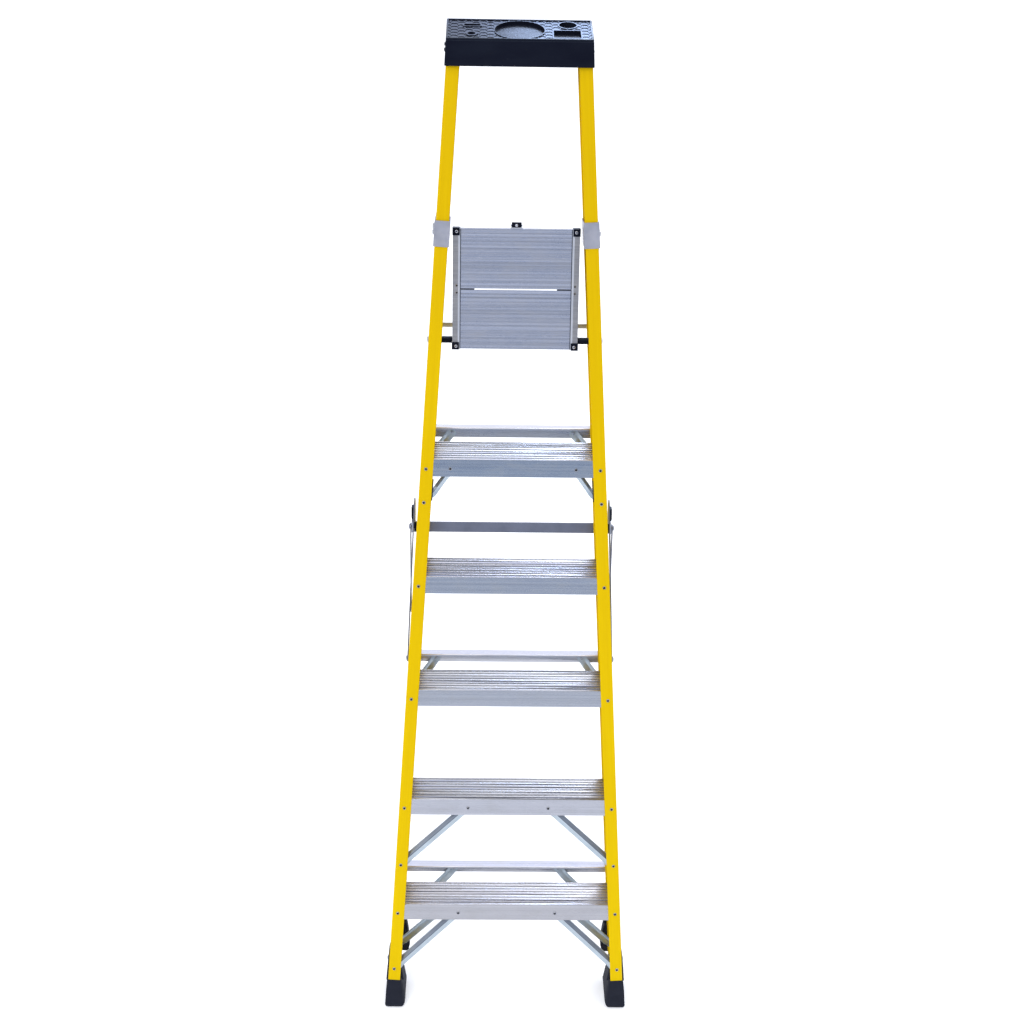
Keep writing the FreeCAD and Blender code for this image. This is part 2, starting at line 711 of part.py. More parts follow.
def spreader_rear_link(name, side):
    rear = place_at(0, HINGE_BACK, size("spreader_rear_along"))
    knee = place_at(0, size("knee_back"), size("knee_along"))
    reach = knee.sub(rear)
    slope = math.degrees(math.atan2(reach.y, reach.z))
    x = REAR_LINK_X if side > 0 else -REAR_LINK_X - size("link_sheet")
    placement = FreeCAD.Placement(FreeCAD.Vector(x, rear.y, rear.z), turn((1, 0, 0), -slope))
    item = plate(f"rear_link_{name}_plate", reach.Length, 0.0, placement, "Sizes.pivot_radius + 0.1")
    head_x = REAR_LINK_X + size("link_sheet") - 0.5
    head = cylinder(
        f"rear_link_{name}_knee_head", "6.5", "3.5",
        along_x(FreeCAD.Vector(side * head_x, knee.y, knee.z), side),
    )
    keep(fused(f"spreader_rear_link_{name}", [item, head]), f"spreader_rear_link_{name}")


def spreader_crossbar():
    """Flat bar that joins the two knees, square to the rails, with blocked ends."""
    half = LINK_KNEE_X - size("link_sheet") / 2 - 0.6
    base = place_at(
        -half, size("knee_back") - size("crossbar_sheet") / 2,
        size("knee_along") - size("crossbar_height") / 2,
    )
    bar = box("crossbar_flat", str(2 * half), "Sizes.crossbar_sheet", "Sizes.crossbar_height",
              FreeCAD.Placement(base, LEANED))
    keep(bar, "spreader_crossbar")


def spreader_knee_pins():
    """Studs through the front links at the knee; they stop short of the rear links."""
    shape = turned([
        (0, 0), (3.0, 0), (3.0, -2.5), (6.0, -2.5), (6.0, -3.3), (3.0, -3.3), (3.0, -14), (0, -14),
    ])
    knee = place_at(0, size("knee_back"), size("knee_along"))
    group("spreader_knee_pins", (shape, [
        along_x(FreeCAD.Vector(side * (REAR_LINK_X - 0.2), knee.y, knee.z), side)
        for side in SIDES.values()
    ]))


def spreader_grips():
    """Thumb tabs on the tongues above the knee, used to break the spreader."""
    thick, width, height, above_knee, edge_round = 3.8, 16.0, 29.0, 24.0, 1.5
    knee, _, slope = spreader_frame()[1:]
    rotation = turn((1, 0, 0), -slope)
    shape = Part.makeBox(thick, width, height, FreeCAD.Vector(0, -width / 2, 0))
    shape = shape.makeFillet(edge_round, shape.Edges)
    lift = rotation.multVec(FreeCAD.Vector(0, 0, above_knee))
    places = []
    for side in SIDES.values():
        x = LINK_KNEE_X + size("link_sheet") / 2
        base = FreeCAD.Vector(x if side > 0 else -x - thick, knee.y, knee.z).add(lift)
        places.append(FreeCAD.Placement(base, rotation))
    group("spreader_grips", (shape, places))


def spreader_pivots(label, along, back, face_x, tip_x):
    """Shouldered pivot pins; the head lies outside the link."""
    radius = size("pivot_radius")
    length = face_x - tip_x
    shape = turned([
        (0, 3.6, (5.5, 2.6)), (8.0, 0), (radius, 0), (radius, -length),
        (0, -length),
    ])
    group(label, (shape, [
        along_x(place_at(side * face_x, back, along), side) for side in SIDES.values()
    ]))


# ---------------------------------------------------------------- rear frame

def sole_along():
    """Along-rail place of the rear sole: level with the floor when the ladder is open."""
    hinge_height = place_at(0, HINGE_BACK, size("hinge_along")).z
    return size("hinge_along") - hinge_height / math.cos(math.radians(size("rear_lean")))


def rear_rail(name, side):
    outline = channel("Sizes.rear_depth", "Sizes.rear_flange", "Sizes.rear_wall", side)
    bottom = sole_along() + size("rear_rail_lift")
    top = size("hinge_along") + size("rear_overrun")
    body = padded(
        f"rear_rail_{name}_channel", "XY_Plane", outline, f"{top - bottom} / cos(Sizes.splay)",
        rounds=CHANNEL_ROUNDS,
    )
    body.Placement = rail_place(side, REAR_FRONT, bottom, size("rear_inset"))
    holes = []
    for job, along, radius in (
        ("hinge", size("hinge_along"), "Sizes.bush_radius"),
        ("spreader", size("spreader_rear_along"), RAIL_HOLE),
    ):
        x = side * outer_x(along)
        holes.append(crossing_hole(
            f"rear_{job}_hole_{name}", HINGE_BACK, along, x - HOLE_REACH, x + HOLE_REACH, radius
        ))
    keep(cut(f"rear_rail_{name}", body, holes), f"rear_rail_{name}")
    return body


# Rear bars by height along the rails, and their rivets below the web.
REAR_BARS = {"lower": 378.2, "middle": 1008.4, "upper": 1635.8}
BAR_RIVET_DROP = 20.0


def rear_bar(name, along):
    """Cross bar square to the rear rails: web on top, rear flange and a small front lip."""
    deep, drop, lip, wall = "Sizes.bar_depth", "Sizes.bar_drop", "Sizes.bar_lip", "Sizes.bar_wall"
    corners = [
        ("0", f"-{lip}"), ("0", "0"), (deep, "0"), (deep, f"-{drop}"),
        (f"{deep} - {wall}", f"-{drop}"), (f"{deep} - {wall}", f"-{wall}"),
        (wall, f"-{wall}"), (wall, f"-{lip}"),
    ]
    web_face = outer_x(along) - size("rear_inset") - size("rear_wall") / math.cos(SPLAY)
    half = web_face - size("bar_end_gap")
    body = padded(f"rear_bar_{name}", "YZ_Plane", corners, str(2 * half), rounds=[("1.8", (1, 2))])
    back = REAR_FRONT + size("rear_wall")
    body.Placement = FreeCAD.Placement(place_at(-half, back, along), LEANED)
    keep(body, f"rear_bar_{name}")


# Each knee brace on the rear frame: (bar, x at the bar, along of its lower end).
REAR_BRACES = {
    "lower": ("lower", 145.0, 195.0),
    "middle": ("middle", 196.0, 905.0),
    "upper": ("upper", 158.0, 1545.0),
}


def rear_braces():
    """Zinc-plated knee braces between the rear flanges of the bars and the rear rails."""
    back = REAR_FRONT + size("rear_depth") - size("rear_wall") - size("bar_wall")
    for name, (bar, x, low) in REAR_BRACES.items():
        for side_name, side in SIDES.items():
            label = f"rear_brace_{name}_{side_name}"
            rail_x = outer_x(low) - size("rear_inset") - RIVET_INSET - BRACE_IN
            end = (side * x, REAR_BARS[bar] - BAR_RIVET_DROP)
            reversed_brace(label, (side * rail_x, low), end, back)


def reversed_brace(label, start, end, back):
    """Knee brace whose flat web faces the rear, against the bar's flange."""
    item = brace(label, start, end, back)
    SUB_PARTS.remove(item)
    base = item.Base
    middle_x = (start[0] + end[0]) / 2
    middle_along = (start[1] + end[1]) / 2
    centre = place_at(middle_x, back, middle_along)
    direction = place_at(end[0], 0, end[1]).sub(place_at(start[0], 0, start[1]))
    half_turn = FreeCAD.Rotation(direction, 180)
    about = FreeCAD.Placement(centre.sub(half_turn.multVec(centre)), half_turn)
    tools = item.Tool.Shapes
    for piece in [base] + list(tools):
        piece.Placement = about.multiply(piece.Placement)
    return keep(item, label)


def rear_rivets():
    shape = domed_pin(head=4.6, rise=2.2, shank=2.4, grip=7.0, tail=3.4, tail_height=1.4)
    facing_rear = LEANED.multiply(turn((1, 0, 0), -90))
    rear_face = REAR_FRONT + size("rear_depth")
    places = []
    for side in SIDES.values():
        for bar, x, low in REAR_BRACES.values():
            along = REAR_BARS[bar] - BAR_RIVET_DROP
            inner = rear_face - size("rear_wall")
            rail_x = outer_x(along) - size("rear_inset") - RIVET_INSET
            places.append(FreeCAD.Placement(place_at(side * rail_x, rear_face, along), facing_rear))
            places.append(FreeCAD.Placement(place_at(side * x, inner, along), facing_rear))
            low_x = outer_x(low) - size("rear_inset") - RIVET_INSET - BRACE_IN
            places.append(FreeCAD.Placement(place_at(side * low_x, rear_face, low), facing_rear))
    group("rear_frame_rivets", (shape, places))


# Rubber below the sole line before the boots are cut level.
SOLE_ALLOWANCE = 20.0


def rear_foot(name, side, rail):
    """Rubber boot on the rear rail; its sole is level when the ladder is open."""
    sole = sole_along()
    blocks = {
        "wall": (3.0, 51.0, REAR_FRONT - 6.0, "Sizes.rear_depth + 12", "Sizes.rear_foot_wall"),
        "core": (-4.0, 43.0, REAR_FRONT + 5.0, "Sizes.rear_depth - 22", "Sizes.rear_foot_core"),
    }
    whole = boot(f"rear_foot_{name}", side, blocks, sole - SOLE_ALLOWANCE)
    opening = size("lean") + size("rear_lean")
    level = turn((1, 0, 0), -opening)
    below = place_at(0, HINGE_BACK, sole).add(level.multVec(FreeCAD.Vector(-400, -200, -200)))
    ground = box(f"floor_under_rear_{name}", "800", "400", "200", FreeCAD.Placement(below, level))
    return keep(cut(f"rear_foot_{name}", whole, [rail, ground]), f"rear_foot_{name}")


def support_rod():
    """Rod across the rear rails; the open deck rests on it."""
    hinge = place_at(0, HINGE_BACK, size("hinge_along"))
    axle = place_at(0, size("axle_back"), size("axle_along"))
    under_deck = axle.z + size("deck_over") - size("deck_thick")
    seat = under_deck - size("rod_radius") - 0.3
    below_hinge = (hinge.z - seat) / math.cos(math.radians(size("rear_lean")))
    along = size("hinge_along") - below_hinge
    half = outer_x(along) - size("rear_inset") - size("rear_wall") - 0.8
    rod = cylinder("rod", "Sizes.rod_radius", str(2 * half),
                   along_x(place_at(-half, HINGE_BACK, along), 1))
    keep(rod, "deck_support_rod")


def hinge_bushes():
    """Plain bushes in the rear rails' hinge holes."""
    along = size("hinge_along")
    outer = outer_x(along) - 0.8
    bore = size("pivot_radius") + size("running_gap")
    inner = outer - size("bush_length")
    skin = size("bush_radius")
    shape = turned([(bore, inner), (skin, inner), (skin, outer), (bore, outer)])
    group("hinge_bushes", (shape, [
        along_x(place_at(0, HINGE_BACK, along), side) for side in SIDES.values()
    ]))


# ---------------------------------------------------------------- platform

def deck_place(x=0.0, back=0.0, up=0.0, rotation=FreeCAD.Rotation()):
    """Placement in the deck's own frame: its axle is the origin, Y to its rear, Z to its surface."""
    axle = place_at(0, size("axle_back"), size("axle_along"))
    frame = FreeCAD.Placement(axle, DECK_UP)
    return frame.multiply(FreeCAD.Placement(FreeCAD.Vector(x, back, up), rotation))


def deck_plank(label, start, joint_at_start):
    """Ribbed aluminium plank with three legs, across the deck; legs stand back from the joint."""
    depth = "(Sizes.deck_front + Sizes.deck_rear - 4 - Sizes.plank_gap) / 2"
    sheet_top = "-(Sizes.rib_height + 2.2)"
    foot = "-(Sizes.deck_thick - 2 * Sizes.deck_wall - 0.2)"
    leg = 2.2
    first, last = "0", depth
    overhang_start, overhang_end = [], []
    if joint_at_start:
        first = "Sizes.joint_inset"
        overhang_start = [(first, sheet_top), ("0", sheet_top)]
    else:
        last = f"{depth} - Sizes.joint_inset"
        overhang_end = [(depth, sheet_top), (last, sheet_top)]
    corners = ribbed_top(depth, 15) + overhang_end + [
        (last, foot), (f"{last} - {leg}", foot), (f"{last} - {leg}", sheet_top),
        (f"{depth} / 2 + {leg} / 2", sheet_top), (f"{depth} / 2 + {leg} / 2", foot),
        (f"{depth} / 2 - {leg} / 2", foot), (f"{depth} / 2 - {leg} / 2", sheet_top),
        (f"{first} + {leg}", sheet_top), (f"{first} + {leg}", foot), (first, foot),
    ] + overhang_start
    half = size("deck_half") - size("deck_flange") + size("plank_entry")
    body = padded(label, "YZ_Plane", corners, str(2 * half))
    body.Placement = deck_place(-half, start, size("deck_over") - size("deck_wall") - 0.1)
    keep(body, label)


def deck_planks():
    first = 2.0 - size("deck_front")
    depth = (size("deck_front") + size("deck_rear") - 4 - size("plank_gap")) / 2
    deck_plank("deck_plank_front", first, joint_at_start=False)
    deck_plank("deck_plank_rear", first + depth + size("plank_gap"), joint_at_start=True)


def deck_channel(name, side):
    flange, wall, thick = "Sizes.deck_flange", "Sizes.deck_wall", "Sizes.deck_thick"
    sign = "" if side > 0 else "-"
    half = f"{sign}1 * Sizes.deck_half"
    inner = f"{sign}1 * (Sizes.deck_half - {flange})"
    web = f"{sign}1 * (Sizes.deck_half - {wall})"
    top = "Sizes.deck_over"
    low = f"Sizes.deck_over - {thick}"
    corners = [
        (half, low), (half, top), (inner, top), (inner, f"{top} - {wall}"),
        (web, f"{top} - {wall}"), (web, f"{low} + {wall}"), (inner, f"{low} + {wall}"), (inner, low),
    ]
    length = "Sizes.deck_front + Sizes.deck_rear - 4"
    body = padded(f"deck_channel_{name}_bar", "XZ_Plane", corners, length, backwards=True)
    body.Placement = deck_place(0, 2.0 - size("deck_front"), 0)
    hole = crossing_hole(
        f"deck_hole_{name}", size("axle_back"), size("axle_along"),
        side * (size("deck_half") - size("deck_flange") - 1), side * (size("deck_half") + 1),
        "Sizes.axle_radius + Sizes.running_gap",
    )
    whole = fused(f"deck_channel_{name}_whole", [body, joint_plate(name, side)])
    keep(cut(f"deck_channel_{name}", whole, [hole]), f"deck_channel_{name}")


def joint_plate(name, side):
    """Flat plate from the side channel's web, under the gap between the planks."""
    sheet_plate, play = 2.0, 0.3
    under_planks = size("deck_over") - size("deck_wall") - size("rib_height") - 2.3
    wide = size("plank_gap") + 2 * size("joint_inset") - 2 * play
    middle = (size("deck_rear") - size("deck_front")) / 2
    inner = size("deck_half") - size("joint_reach")
    reach = size("joint_reach") - size("deck_wall") / 2
    start = inner if side > 0 else -inner - reach
    place = deck_place(start, middle - wide / 2, under_planks - play - sheet_plate)
    return box(f"joint_plate_{name}", str(reach), str(wide), str(sheet_plate), place)


def deck_corners():
    """Plastic corner caps; returns the screws that hold them."""
    sheet_cap = 2.0
    length = 19.0
    half = size("deck_half") + 1.2
    inner = size("deck_half") - 17.0
    over = size("deck_over")
    front = -size("deck_front")
    top_plate = Part.makeBox(half - inner, length, sheet_cap, FreeCAD.Vector(inner, front, over))
    end_plate = Part.makeBox(half - inner, sheet_cap, size("deck_thick"),
                             FreeCAD.Vector(inner, front, over - size("deck_thick")))
    corner = top_plate.fuse(end_plate).removeSplitter()
    mirrored = corner.mirror(FreeCAD.Vector(0, 0, 0), FreeCAD.Vector(1, 0, 0))
    middle_y = (size("deck_rear") - size("deck_front")) / 2
    solids = []
    for shape in (corner, mirrored):
        solids.append(shape)
        solids.append(shape.mirror(FreeCAD.Vector(0, middle_y, 0), FreeCAD.Vector(0, 1, 0)))
    item = doc.addObject("Part::Feature", "deck_corner_caps")
    item.Shape = Part.makeCompound(solids)
    item.Placement = deck_place()
    keep(item, "deck_corner_caps")
    screw = domed_pin(head=3.6, rise=1.7, shank=1.8, grip=5.0, tail=2.6, tail_height=1.0)
    places = []
    for x in (inner + 8.0, -inner - 8.0):
        for back in (front + 9.0, size("deck_rear") - 9.0):
            places.append(deck_place(x, back, over + sheet_cap))
    return screw, places


def deck_rivets():
    """Rivets beside the plank joint, and the side studs near the rear edge."""
    shape = domed_pin(head=3.2, rise=1.5, shank=1.8, grip=4.4, tail=2.4, tail_height=1.0)
    middle = (size("deck_rear") - size("deck_front")) / 2
    x = size("deck_half") - 10.5
    places = []
    for side in SIDES.values():
        for back in (middle - 9.0, middle + 9.0):
            places.append(deck_place(side * x, back, size("deck_over")))
        across = turn((0, 1, 0), 90.0 * side)
        places.append(deck_place(side * size("deck_half"), size("deck_rear") - 9.0, 4.0, across))
    return shape, places


CATCH_AXIS = (7.5, 6.0)


def catch_bracket():
    """Steel cheeks on the deck's rear edge with the pin that the catch turns on."""
    back = size("deck_rear") - 2.0
    pin_back = back + CATCH_AXIS[0]
    up = CATCH_AXIS[1]
    cheek = Part.makeBox(1.5, 11.0, 10.0, FreeCAD.Vector(13.0, back, up - 5.0))
    other = Part.makeBox(1.5, 11.0, 10.0, FreeCAD.Vector(-14.5, back, up - 5.0))
    foot = Part.makeBox(29.0, 1.2, 5.0, FreeCAD.Vector(-14.5, back, up - 9.5))
    tie = Part.makeBox(29.0, 1.2, 10.0, FreeCAD.Vector(-14.5, back, up - 5.0))
    pin = Part.makeCylinder(1.8, 28.0, FreeCAD.Vector(-14.0, pin_back, up), FreeCAD.Vector(1, 0, 0))
    item = doc.addObject("Part::Feature", "deck_catch_bracket")
    item.Shape = cheek.fuse([other, foot, tie, pin]).removeSplitter()
    item.Placement = deck_place()
    keep(item, "deck_catch_bracket")


def deck_catch():
    """Black plastic catch that swings on its pin."""
    back = size("deck_rear") - 2.0 + CATCH_AXIS[0]
    up = CATCH_AXIS[1]
    barrel = Part.makeCylinder(5.4, 24.5, FreeCAD.Vector(-12.25, back, up), FreeCAD.Vector(1, 0, 0))
    tab = Part.makeBox(24.5, 8.5, 5.5, FreeCAD.Vector(-12.25, back, up - 0.1))
    bore = Part.makeCylinder(1.8 + size("running_gap"), 40.0, FreeCAD.Vector(-20, back, up),
                             FreeCAD.Vector(1, 0, 0))
    item = doc.addObject("Part::Feature", "deck_catch")
    item.Shape = barrel.fuse(tab).removeSplitter().cut(bore)
    item.Placement = deck_place()
    keep(item, "deck_catch")


# ---------------------------------------------------------------- assembly

rails = {name: front_rail(name, side) for name, side in SIDES.items()}
for step in range(1, 6):
    tread(step)
front_braces()
tread_braces()
front_rivets()
for name, side in SIDES.items():
    front_foot(name, side, rails[name])
    hinge_bracket(name, side)
foot_bolts("front_foot_bolts", [(62.0, 120.0)], 0.0, 4.6)
top_cap()
group("upper_bolts", cap_bolts(), bracket_bolts())
hinge_bolts()
deck_axle()
axle_spacers()

rear_rails = {name: rear_rail(name, side) for name, side in SIDES.items()}
for name, along in REAR_BARS.items():
    rear_bar(name, along)
rear_braces()
rear_rivets()
for name, side in SIDES.items():
    rear_foot(name, side, rear_rails[name])
foot_bolts("rear_foot_bolts", [(HINGE_BACK, sole_along() + 62.0)], size("rear_inset"), 0.1)
support_rod()
hinge_bushes()

deck_planks()
for name, side in SIDES.items():
    deck_channel(name, side)
group("deck_fasteners", deck_corners(), deck_rivets())
catch_bracket()
deck_catch()

for name, side in SIDES.items():
    spreader_front_link(name, side)
    spreader_rear_link(name, side)
spreader_crossbar()
spreader_knee_pins()
spreader_grips()
spreader_pivots(
    "spreader_front_pivots", size("spreader_foot_along"), size("spreader_foot_back"),
    outer_x(size("spreader_foot_along")) + LINK_FOOT_OUT + 2.2,
    outer_x(size("spreader_foot_along")) - 8.0,
)
spreader_pivots(
    "spreader_rear_pivots", size("spreader_rear_along"), HINGE_BACK,
    REAR_LINK_X + size("link_sheet") + 0.2, outer_x(size("spreader_rear_along")) - 8.0,
)

doc.recompute()
faults = [
    item.Label for item in doc.Objects
    if "Invalid" in item.State or "Error" in item.State
]
for item in SUB_PARTS:
    if item.Shape.isNull() or not item.Shape.isValid() or not item.Shape.Solids:
        faults.append(item.Label + " shape")
if faults:
    raise RuntimeError("not built: " + ", ".join(faults))
os.makedirs("parts", exist_ok=True)
for item in SUB_PARTS:
    item.Shape.exportStep(os.path.join("parts", item.Label + ".step"))
print(len(SUB_PARTS), "sub-parts written")
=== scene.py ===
import json
import math

import bmesh
import bpy
import numpy as np
from mathutils import Matrix, Vector


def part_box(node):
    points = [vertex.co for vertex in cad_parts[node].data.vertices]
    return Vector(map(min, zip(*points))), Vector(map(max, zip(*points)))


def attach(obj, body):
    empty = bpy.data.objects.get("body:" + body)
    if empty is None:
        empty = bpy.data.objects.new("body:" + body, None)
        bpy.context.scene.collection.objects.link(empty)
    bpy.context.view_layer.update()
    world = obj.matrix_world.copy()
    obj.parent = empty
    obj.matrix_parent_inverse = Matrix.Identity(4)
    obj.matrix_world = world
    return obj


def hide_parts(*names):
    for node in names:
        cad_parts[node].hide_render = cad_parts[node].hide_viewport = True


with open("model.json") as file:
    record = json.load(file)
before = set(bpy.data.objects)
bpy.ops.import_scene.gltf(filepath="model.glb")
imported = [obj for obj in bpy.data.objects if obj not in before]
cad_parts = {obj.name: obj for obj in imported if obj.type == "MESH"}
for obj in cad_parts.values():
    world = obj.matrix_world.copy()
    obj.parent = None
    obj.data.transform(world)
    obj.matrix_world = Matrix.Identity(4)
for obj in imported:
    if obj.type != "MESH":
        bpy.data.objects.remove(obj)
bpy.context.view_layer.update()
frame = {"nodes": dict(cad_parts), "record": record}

# A closed platform step ladder, in metres: X to the right, Y to the rear, Z up.

# The front rails lean back by LEAN and close in towards the top by SPLAY.
LEAN = math.radians(18.0)
SPLAY = math.radians(3.43)
SIDES = {"left": -1, "right": 1}
NODES = frame["nodes"]

# The front rails' outer face is HALF_WIDTH from the centre line at the floor; the line where the
# rails' front meets the floor is TOE_Y.
HALF_WIDTH = 0.330
TOE_Y = -0.45405


def place_at(x, back, along):
    """Point that is back from the rails' front plane and along it from the floor."""
    return Vector((
        x,
        TOE_Y + along * math.sin(LEAN) + back * math.cos(LEAN),
        along * math.cos(LEAN) - back * math.sin(LEAN),
    ))


def rail_axes(side):
    """Matrix whose columns are a rail's own axes: across, back and along."""
    lean = Matrix.Rotation(-LEAN, 4, "X")
    return lean @ Matrix.Rotation(-side * SPLAY, 4, "Y")


# ---------------------------------------- node graphs

class Graph:
    """Small helper that builds one procedural material."""

    def __init__(self, name, metallic=0.0, roughness=0.5, specular=0.5):
        self.material = bpy.data.materials.new(name)
        self.material.use_nodes = True
        self.tree = self.material.node_tree
        self.shader = self.tree.nodes["Principled BSDF"]
        self.shader.inputs["Metallic"].default_value = metallic
        self.shader.inputs["Roughness"].default_value = roughness
        self.shader.inputs["Specular IOR Level"].default_value = specular
        self.coords = self.node("ShaderNodeTexCoord").outputs["Object"]
        self.normal = None

    def node(self, kind, inputs=None, **settings):
        made = self.tree.nodes.new(kind)
        for key, value in settings.items():
            setattr(made, key, value)
        for key, value in (inputs or {}).items():
            self.set(made.inputs[key], value)
        return made

    def set(self, socket, value):
        if isinstance(value, bpy.types.NodeSocket):
            self.tree.links.new(value, socket)
        else:
            socket.default_value = value

    def turned(self, matrix):
        """Object coordinates in another set of axes."""
        return self.node(
            "ShaderNodeMapping", {"Vector": self.coords, "Rotation": matrix.to_euler("XYZ")},
            vector_type="TEXTURE",
        ).outputs["Vector"]

    def scaled(self, scale, coords=None):
        return self.node(
            "ShaderNodeMapping", {"Vector": coords or self.coords, "Scale": scale}
        ).outputs["Vector"]

    def noise(self, scale, detail=3.0, rough=0.5, coords=None, distortion=0.0):
        return self.node("ShaderNodeTexNoise", {
            "Vector": self.scaled(scale, coords), "Scale": 1.0, "Detail": detail,
            "Roughness": rough, "Distortion": distortion,
        }).outputs["Fac"]

    def cells(self, scale, coords=None, feature="F1", output="Distance"):
        return self.node("ShaderNodeTexVoronoi", {
            "Vector": self.scaled(scale, coords), "Scale": 1.0,
        }, feature=feature).outputs[output]

    def math(self, operation, first, second=0.0):
        made = self.node("ShaderNodeMath", {0: first, 1: second}, operation=operation)
        return made.outputs[0]

    def spread(self, value, low, high, to_low=0.0, to_high=1.0):
        return self.node("ShaderNodeMapRange", {
            "Value": value, "From Min": low, "From Max": high, "To Min": to_low, "To Max": to_high,
        }).outputs["Result"]

    def mix(self, factor, first, second, blend="MIX"):
        made = self.node("ShaderNodeMix", data_type="RGBA", blend_type=blend)
        self.set(made.inputs[0], factor)
        self.set(made.inputs[6], first)
        self.set(made.inputs[7], second)
        return made.outputs[2]

    def facing_up(self, low, high, to_low, to_high):
        """Value that follows how far the surface faces the sky."""
        normal = self.node("ShaderNodeNewGeometry").outputs["Normal"]
        up = self.node("ShaderNodeSeparateXYZ", {"Vector": normal}).outputs["Z"]
        return self.spread(up, low, high, to_low, to_high)

    def bump(self, height, strength, distance):
        inputs = {"Height": height, "Strength": strength, "Distance": distance}
        if self.normal is not None:
            inputs["Normal"] = self.normal
        self.normal = self.node("ShaderNodeBump", inputs).outputs["Normal"]

    def finish(self, **sockets):
        for name, value in sockets.items():
            self.set(self.shader.inputs[name.replace("_", " ")], value)
        if self.normal is not None:
            self.set(self.shader.inputs["Normal"], self.normal)
        return self.material


def rgb(red, green, blue):
    return (red, green, blue, 1.0)


# ---------------------------------------- materials

def fibreglass(side):
    """Pultruded yellow fibreglass: fine strands along the rail under a satin skin."""
    graph = Graph(f"fibreglass_{side}", specular=0.05)
    along = graph.turned(rail_axes(side))
    strands = graph.noise((900, 900, 9), detail=4, rough=0.6, coords=along)
    streaks = graph.noise((160, 160, 2.2), detail=3, coords=along)
    clouds = graph.noise((7, 7, 3), detail=4)
    wear = graph.noise((45, 45, 30), detail=6, rough=0.7)
    base = graph.mix(graph.spread(streaks, 0.3, 0.7), rgb(0.70, 0.455, 0.0), rgb(0.745, 0.50, 0.0))
    base = graph.mix(graph.spread(strands, 0.35, 0.75, 0.0, 0.3), base, rgb(0.78, 0.54, 0.002))
    base = graph.mix(graph.spread(clouds, 0.35, 0.7, 0.0, 0.25), base, rgb(0.64, 0.40, 0.0))
    base = graph.mix(graph.spread(wear, 0.68, 0.8, 0.0, 0.3), base, rgb(0.45, 0.29, 0.01))
    # Painted shade: the rails are lightened near the floor and darkened and warmed towards the top.
    height = graph.node("ShaderNodeSeparateXYZ", {"Vector": graph.coords}).outputs["Z"]
    base = graph.mix(1.0, base, graph.mix(
        graph.spread(height, 0.2, 2.2), rgb(1.06, 1.08, 1.0), rgb(0.90, 0.87, 1.0)
    ), blend="MULTIPLY")
    graph.bump(strands, 0.10, 0.0004)
    graph.bump(clouds, 0.05, 0.002)
    return graph.finish(Base_Color=base, Roughness=graph.spread(streaks, 0.2, 0.8, 0.38, 0.52))


# Platform side channel, outwards from its inner edge: where its painted gap shade ends and where its
# painted lip highlight ends.
DECK_INNER_EDGE = 0.1372
DECK_GAP_SHADE = (0.0018, 0.0026)
DECK_LIP_HIGHLIGHT = (0.0062, 0.0074)


def extruded(name, tint, front=None, lines=(3, 1500, 1500), rough=(0.20, 0.36), bands=160,
             contrast=0.80, ripple=0.0, inner_edge=None):
    """Mill-finish aluminium: drawn lines along X, faint stains and scuffs, uneven ribs, painted shade on
    faces turned from the sky, painted gap shade and lip highlight.
    """
    graph = Graph(name, metallic=1.0)
    drawn = graph.noise(lines, detail=3, rough=0.6)
    wide = graph.noise((0.5, bands, bands), detail=2)
    stains = graph.noise((14, 30, 30), detail=5, rough=0.65)
    scuffs = graph.noise((120, 240, 240), detail=6, rough=0.75)
    # Painted light and shade: faces towards the sky take the tint, faces turned from it the front colour.
    middle = graph.mix(graph.facing_up(0.3, 0.8, 0.0, 1.0), front or tint, tint)
    dark = graph.mix(1.0, middle, rgb(contrast, contrast, contrast), blend="MULTIPLY")
    base = graph.mix(graph.spread(wide, 0.3, 0.7), dark, middle)
    base = graph.mix(graph.spread(drawn, 0.3, 0.75, 0.0, 0.25), base, rgb(0.72, 0.73, 0.76))
    base = graph.mix(graph.spread(stains, 0.5, 0.75, 0.0, 0.3), base, rgb(0.38, 0.37, 0.36))
    base = graph.mix(graph.spread(scuffs, 0.62, 0.75, 0.0, 0.35), base, rgb(0.30, 0.30, 0.32))
    graph.bump(drawn, 0.10, 0.0003)
    graph.bump(wide, 0.12, 0.0008)
    if ripple:
        wave = graph.noise((1.8, 58, 20), detail=1, distortion=0.5)
        graph.bump(graph.math("MULTIPLY", wave, graph.facing_up(0.5, 0.9, 0.0, 1.0)), 1.0, ripple)
    # Painted shade in the gap along the channel's inner edge and a painted highlight on the lip beside
    # it.
    if inner_edge:
        across = graph.node("ShaderNodeSeparateXYZ", {"Vector": graph.coords}).outputs["X"]
        away = graph.math("SUBTRACT", graph.math("ABSOLUTE", across), inner_edge)
        lip_highlight = graph.spread(away, *DECK_LIP_HIGHLIGHT)
        gap_shade = graph.spread(away, *DECK_GAP_SHADE)
        base = graph.mix(lip_highlight, rgb(0.60, 0.60, 0.62), base)
        base = graph.mix(gap_shade, rgb(0.06, 0.065, 0.08), base)
        graph.bump(lip_highlight, 0.4, 0.0006)
        graph.bump(gap_shade, 0.4, 0.0008)
    roughness = graph.math(
        "ADD", graph.spread(drawn, 0.3, 0.7, *rough), graph.spread(stains, 0.4, 0.8, 0.0, 0.10)
    )
    return graph.finish(Base_Color=base, Roughness=roughness)


